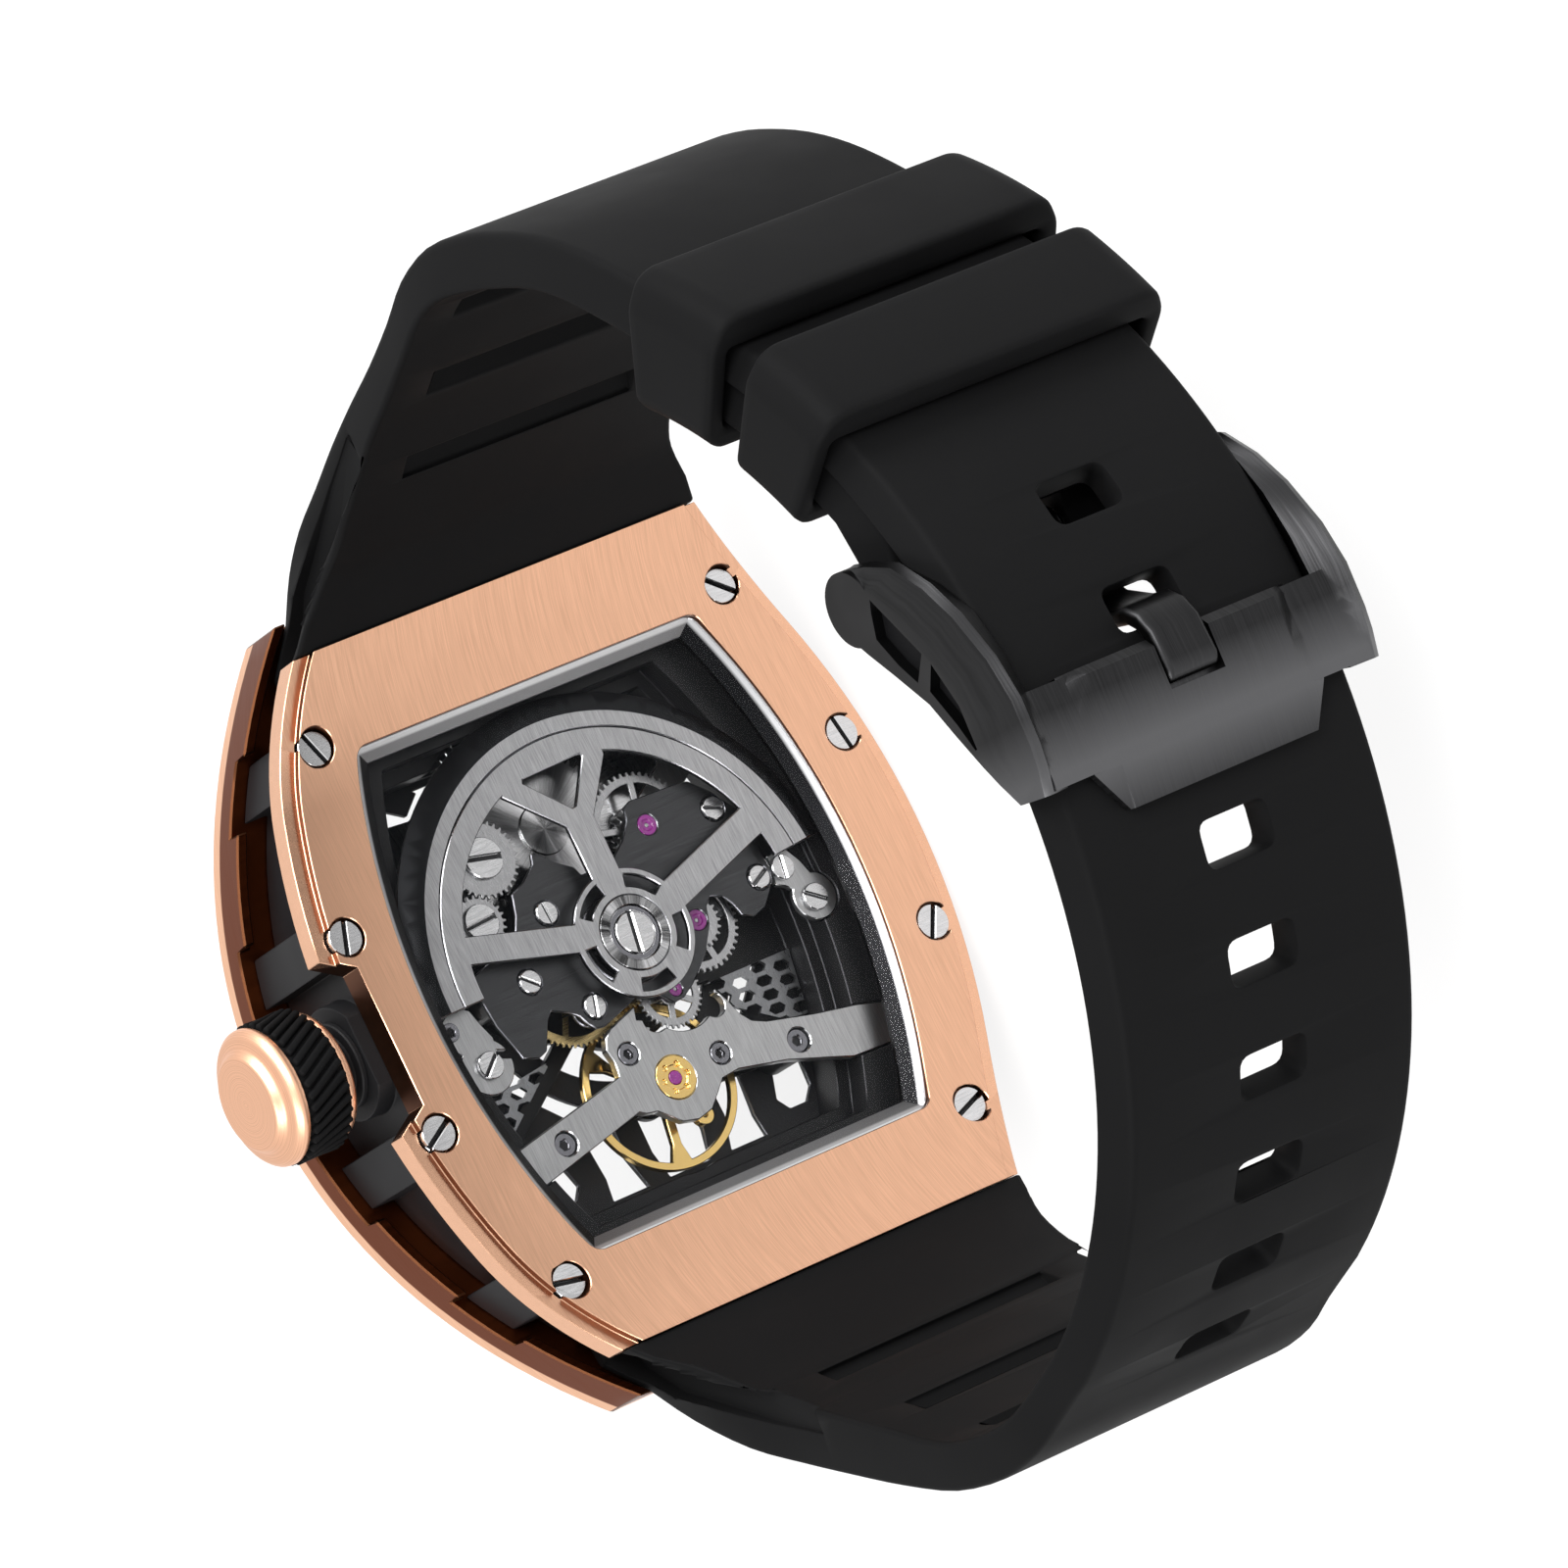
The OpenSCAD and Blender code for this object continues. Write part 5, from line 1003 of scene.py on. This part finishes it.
class WATCH_OT_crown(bpy.types.Operator):
    """Finish the crown and model its rubber grip"""

    bl_idname = "watch.crown"
    bl_label = "Crown"

    def execute(self, context):
        _, sizes = settings()
        dressed("crown_cap", "crown_gold", CAP_EDGE, segments=2)
        dressed("crown_tube", "case_black", SEAT_EDGE)
        dressed("winding_stem", "steel", PIN_EDGE)
        axis = case_point(GRIP_X, 0, CROWN_Z)
        bpy.ops.mesh.primitive_cylinder_add(
            vertices=96, radius=GRIP_R * MM, depth=GRIP_LONG * MM, location=axis)
        ring = settled()
        bpy.ops.mesh.primitive_cylinder_add(
            vertices=96, radius=GRIP_BORE * MM, depth=3 * GRIP_LONG * MM, location=axis)
        cut(ring, settled())
        soften(ring, 0.18 * MM, 3, 40)
        bpy.ops.mesh.primitive_cube_add(size=MM)
        ridge = bpy.context.object
        ridge.data.transform(Matrix.Diagonal((*RIDGE_SIZE, 1)))
        soften(ridge, 0.16 * MM, 3, 40)
        ridge.data.transform(Matrix.Translation((RIDGE_AWAY * MM, 0, 0))
                             @ Matrix.Rotation(radians(RIDGE_TURN), 4, "X"))
        turns = [2 * pi * k / sizes.grip_ridges for k in range(sizes.grip_ridges)]
        ridges = [copy_of(ridge, Matrix.Translation(axis) @ Matrix.Rotation(turn, 4, "Z"))
                  for turn in turns]
        bpy.data.objects.remove(ridge)
        grip = joined([ring, *ridges])
        shade(grip, 40)
        place(grip, "crown_grip_moulded", "crown_grip", "grip")
        bpy.ops.mesh.primitive_torus_add(
            major_segments=72, minor_segments=12, major_radius=GASKET_R * MM,
            minor_radius=GASKET_WIRE * MM, location=case_point(GASKET_X, 0, CROWN_Z))
        gasket = settled()
        shade(gasket, 60)
        place(gasket, "crown_gasket_ring", "crown_gasket", "grip")
        return {"FINISHED"}


class WATCH_OT_buckle(bpy.types.Operator):
    """Finish the buckle frame, its tongue and the spring bar"""

    bl_idname = "watch.buckle"
    bl_label = "Buckle"

    def execute(self, context):
        dressed("buckle_frame", "buckle", BUCKLE_EDGE, "buckle_edge", 30, 34, 2, clamp=True,
                parts=(("window_black", is_buckle_window),))
        dressed("buckle_tongue", "buckle", TONGUE_EDGE, "buckle_edge", 38, 42, 3)
        dressed("spring_bar", "steel", PIN_EDGE)
        return {"FINISHED"}


# Movement
class WATCH_OT_rotor(bpy.types.Operator):
    """Finish the winding rotor and its bearing"""

    bl_idname = "watch.rotor"
    bl_label = "Rotor"

    def execute(self, context):
        _, sizes = settings()
        edge = sizes.bridge_edge
        dressed("rotor_plate", "rotor", edge, "rotor_edge", parts=(("skirt", is_wall),))
        dressed("rotor_weight", "rotor", edge, "rotor_edge", parts=(("skirt", is_slope),))
        dressed("rotor_bearing", "bearing", BEARING_EDGE)
        dressed("bearing_core", "dark_edge", PIN_EDGE, "steel")
        return {"FINISHED"}


class WATCH_OT_bridges(bpy.types.Operator):
    """Finish the plate, the bridges, the cock, the stones and the levers"""

    bl_idname = "watch.bridges"
    bl_label = "Plate and Bridges"

    def execute(self, context):
        _, sizes = settings()
        dressed("mainplate", "plate_black", sizes.bridge_edge, "plate_edge")
        dressed("mesh_plates", "mesh")
        for node, finish, edge_finish in (
                ("automatic_bridge", "dark_bridge", "dark_edge"),
                ("train_bridge", "dark_bridge", "dark_edge"),
                ("barrel_bridge", "cock", "cock_edge"),
                ("balance_cock", "cock", "cock_edge"),
                ("pallet_bridge", "dark_bridge", "dark_edge"),
                ("crown_levers", "cock", "cock_edge")):
            dressed(node, finish, sizes.bridge_edge, edge_finish)
        for node, finish in (("jewels", "ruby"), ("shock_setting", "yellow_gold"),
                             ("regulator", "yellow_gold")):
            dressed(node, finish, STONE_EDGE)
        return {"FINISHED"}


class WATCH_OT_wheels(bpy.types.Operator):
    """Finish the wheels of the winding and going trains"""

    bl_idname = "watch.wheels"
    bl_label = "Wheels"

    def execute(self, context):
        dressed("mainspring_barrel", "barrel", STONE_EDGE)
        dressed("ratchet_wheel", "ratchet", STONE_EDGE)
        for node in ("reversing_wheel", "reduction_wheel", "winding_wheel_1", "winding_wheel_2",
                     "escape_wheel", "pallet_fork"):
            dressed(node, "wheel", TOOTH_EDGE)
        for node in ("centre_wheel", "third_wheel", "fourth_wheel", "hour_wheel", "minute_wheel"):
            dressed(node, "brass", TOOTH_EDGE)
        return {"FINISHED"}


class WATCH_OT_balance(bpy.types.Operator):
    """Finish the balance wheel and its spring"""

    bl_idname = "watch.balance"
    bl_label = "Balance"

    def execute(self, context):
        dressed("balance_wheel", "yellow_gold", SCREW_EDGE)
        dressed("hairspring", "spring")
        return {"FINISHED"}


class WATCH_OT_dial_side(bpy.types.Operator):
    """Finish the skeleton dial, its markers and the hands"""

    bl_idname = "watch.dial_side"
    bl_label = "Dial Side"

    def execute(self, context):
        dressed("skeleton_dial", "dial_black", PIN_EDGE, "dark_edge")
        for node in ("hour_markers", "hour_hand", "minute_hand"):
            dressed(node, "white", SCREW_EDGE)
        dressed("seconds_hand", "red", BEARING_EDGE)
        return {"FINISHED"}


# Studio

# The camera, fitted to points of the photograph: its focal length and the photograph's width in
# pixels, the sensor's width in millimetres, and its turn and place in metres
FOCAL_PX, PHOTO_PX, SENSOR = 11381.62, 1600, 36.0
CAMERA_STAND = Matrix((
    (0.43239, -0.89774, 0.08424, 0.0518),
    (0.45647, 0.29850, 0.83817, 0.5631),
    (-0.77761, -0.32396, 0.53886, 0.3487),
    (0, 0, 0, 1)))
# Lamps, in metres: where each stands, its two sides and the setting that holds its power
LAMPS = (
    ("key_lamp", (-0.35, 0.75, 0.75), (0.6, 0.6), "key_power"),
    ("side_lamp", (0.55, 0.25, 0.55), (0.25, 0.7), "side_power"),
    ("far_lamp", (-0.6, 0.2, 0.35), (0.3, 0.6), "back_power"))
LAMPS_AIM = Vector((0, 0.02, 0))
# The floor lies this far under the lowest piece, in metres, and is this wide
FLOOR_GAP, FLOOR_WIDE = 0.0002, 4


def shading(tree, kind, grey=None, strength=None):
    """A plain shader node of one grey and strength, or with Blender's own where none is given."""
    node = tree.nodes.new(kind)
    if grey is not None:
        node.inputs["Color"].default_value = (grey, grey, grey, 1)
    if strength is not None:
        node.inputs["Strength"].default_value = strength
    return node.outputs[0]


def white_in_view(tree, plain, bright):
    """Mixes a plain shader with a bright one for rays from the camera, mirrors and glass."""
    path = tree.nodes.new("ShaderNodeLightPath")
    seen = math_node(tree, "MAXIMUM", path.outputs["Is Camera Ray"],
                     math_node(tree, "MAXIMUM", path.outputs["Is Glossy Ray"],
                               path.outputs["Is Transmission Ray"]))
    mix = tree.nodes.new("ShaderNodeMixShader")
    tree.links.new(seen, mix.inputs[0])
    tree.links.new(plain, mix.inputs[1])
    tree.links.new(bright, mix.inputs[2])
    return mix.outputs[0]


def emptied(owner):
    """The node tree of a material or world, with nothing in it."""
    owner.use_nodes = True
    owner.node_tree.nodes.clear()
    return owner.node_tree


def floor_material():
    """Pale grey floor that keeps the object's shadow and shows nearly white in view."""
    mat = bpy.data.materials.new("pale floor")
    tree = emptied(mat)
    out = tree.nodes.new("ShaderNodeOutputMaterial")
    both = tree.nodes.new("ShaderNodeAddShader")
    tree.links.new(shading(tree, "ShaderNodeBsdfDiffuse", 0.22), both.inputs[0])
    tree.links.new(shading(tree, "ShaderNodeEmission", 1, 0.86), both.inputs[1])
    matte = shading(tree, "ShaderNodeBsdfDiffuse", 0.8)
    tree.links.new(white_in_view(tree, matte, both.outputs[0]), out.inputs["Surface"])
    return mat


def studio_world():
    """Soft fill light from all round, and a white background in view."""
    world = bpy.data.worlds.new("studio")
    tree = emptied(world)
    out = tree.nodes.new("ShaderNodeOutputWorld")
    fill = shading(tree, "ShaderNodeBackground", strength=0.45)
    bright = shading(tree, "ShaderNodeBackground", 1, 1.0)
    tree.links.new(white_in_view(tree, fill, bright), out.inputs["Surface"])
    return world


def lamp(name, stand, sides, power):
    data = bpy.data.lights.new(name, "AREA")
    data.shape = "RECTANGLE"
    data.size, data.size_y = sides
    data.energy = power
    obj = bpy.data.objects.new(name, data)
    bpy.context.scene.collection.objects.link(obj)
    obj.location = stand
    obj.rotation_euler = (LAMPS_AIM - Vector(stand)).to_track_quat("-Z", "Y").to_euler()


class WATCH_OT_studio(bpy.types.Operator):
    """Set the floor, the lamps, the background and the camera"""

    bl_idname = "watch.studio"
    bl_label = "Studio"

    def execute(self, context):
        scene = context.scene
        scene.view_settings.view_transform = "Standard"
        deselect()
        bpy.ops.mesh.primitive_plane_add(
            size=FLOOR_WIDE, location=(0, 0, CAD_BOX[0][2] - FLOOR_GAP))
        floor = context.object
        floor.name = "studio_floor"
        floor.data.materials.append(floor_material())
        scene.world = studio_world()
        for name, stand, sides, power in LAMPS:
            lamp(name, stand, sides, getattr(scene.watch_studio, power))
        data = bpy.data.cameras.new("camera")
        data.sensor_width = SENSOR
        data.lens = FOCAL_PX / PHOTO_PX * SENSOR
        data.clip_start, data.clip_end = 0.01, 20
        camera = bpy.data.objects.new("camera", data)
        scene.collection.objects.link(camera)
        camera.matrix_world = CAMERA_STAND
        scene.camera = camera
        return {"FINISHED"}


# Add-on
class WATCH_PT_panel(bpy.types.Panel):
    """Watch pieces and studio in the sidebar"""

    bl_idname = "WATCH_PT_panel"
    bl_label = "Skeleton Watch"
    bl_space_type = "VIEW_3D"
    bl_region_type = "UI"
    bl_category = "Watch"

    def draw(self, context):
        for name in ("watch_colours", "watch_sizes", "watch_studio"):
            group = getattr(context.scene, name)
            box = self.layout.box()
            for key in group.__annotations__:
                box.prop(group, key)
        for operator in PIECES:
            self.layout.operator(operator.bl_idname)


PIECES = (
    WATCH_OT_buckle_strap, WATCH_OT_hole_strap, WATCH_OT_keepers, WATCH_OT_case, WATCH_OT_screws,
    WATCH_OT_crown, WATCH_OT_buckle, WATCH_OT_rotor, WATCH_OT_bridges, WATCH_OT_wheels,
    WATCH_OT_balance, WATCH_OT_dial_side, WATCH_OT_studio)
GROUPS = {"watch_colours": WatchColours, "watch_sizes": WatchSizes, "watch_studio": WatchStudio}


def register():
    for cls in (*GROUPS.values(), *PIECES, WATCH_PT_panel):
        bpy.utils.register_class(cls)
    for name, cls in GROUPS.items():
        setattr(bpy.types.Scene, name, PointerProperty(type=cls))


def unregister():
    for name in GROUPS:
        delattr(bpy.types.Scene, name)
    for cls in reversed((*GROUPS.values(), *PIECES, WATCH_PT_panel)):
        bpy.utils.unregister_class(cls)


def main():
    register()
    make_finishes()
    bpy.ops.watch.studio()
    bpy.ops.watch.buckle_strap()
    bpy.ops.watch.hole_strap()
    bpy.ops.watch.keepers()
    bpy.ops.watch.case()
    bpy.ops.watch.screws()
    bpy.ops.watch.crown()
    bpy.ops.watch.buckle()
    bpy.ops.watch.rotor()
    bpy.ops.watch.bridges()
    bpy.ops.watch.wheels()
    bpy.ops.watch.balance()
    bpy.ops.watch.dial_side()
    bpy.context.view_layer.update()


if __name__ == "__main__":
    main()
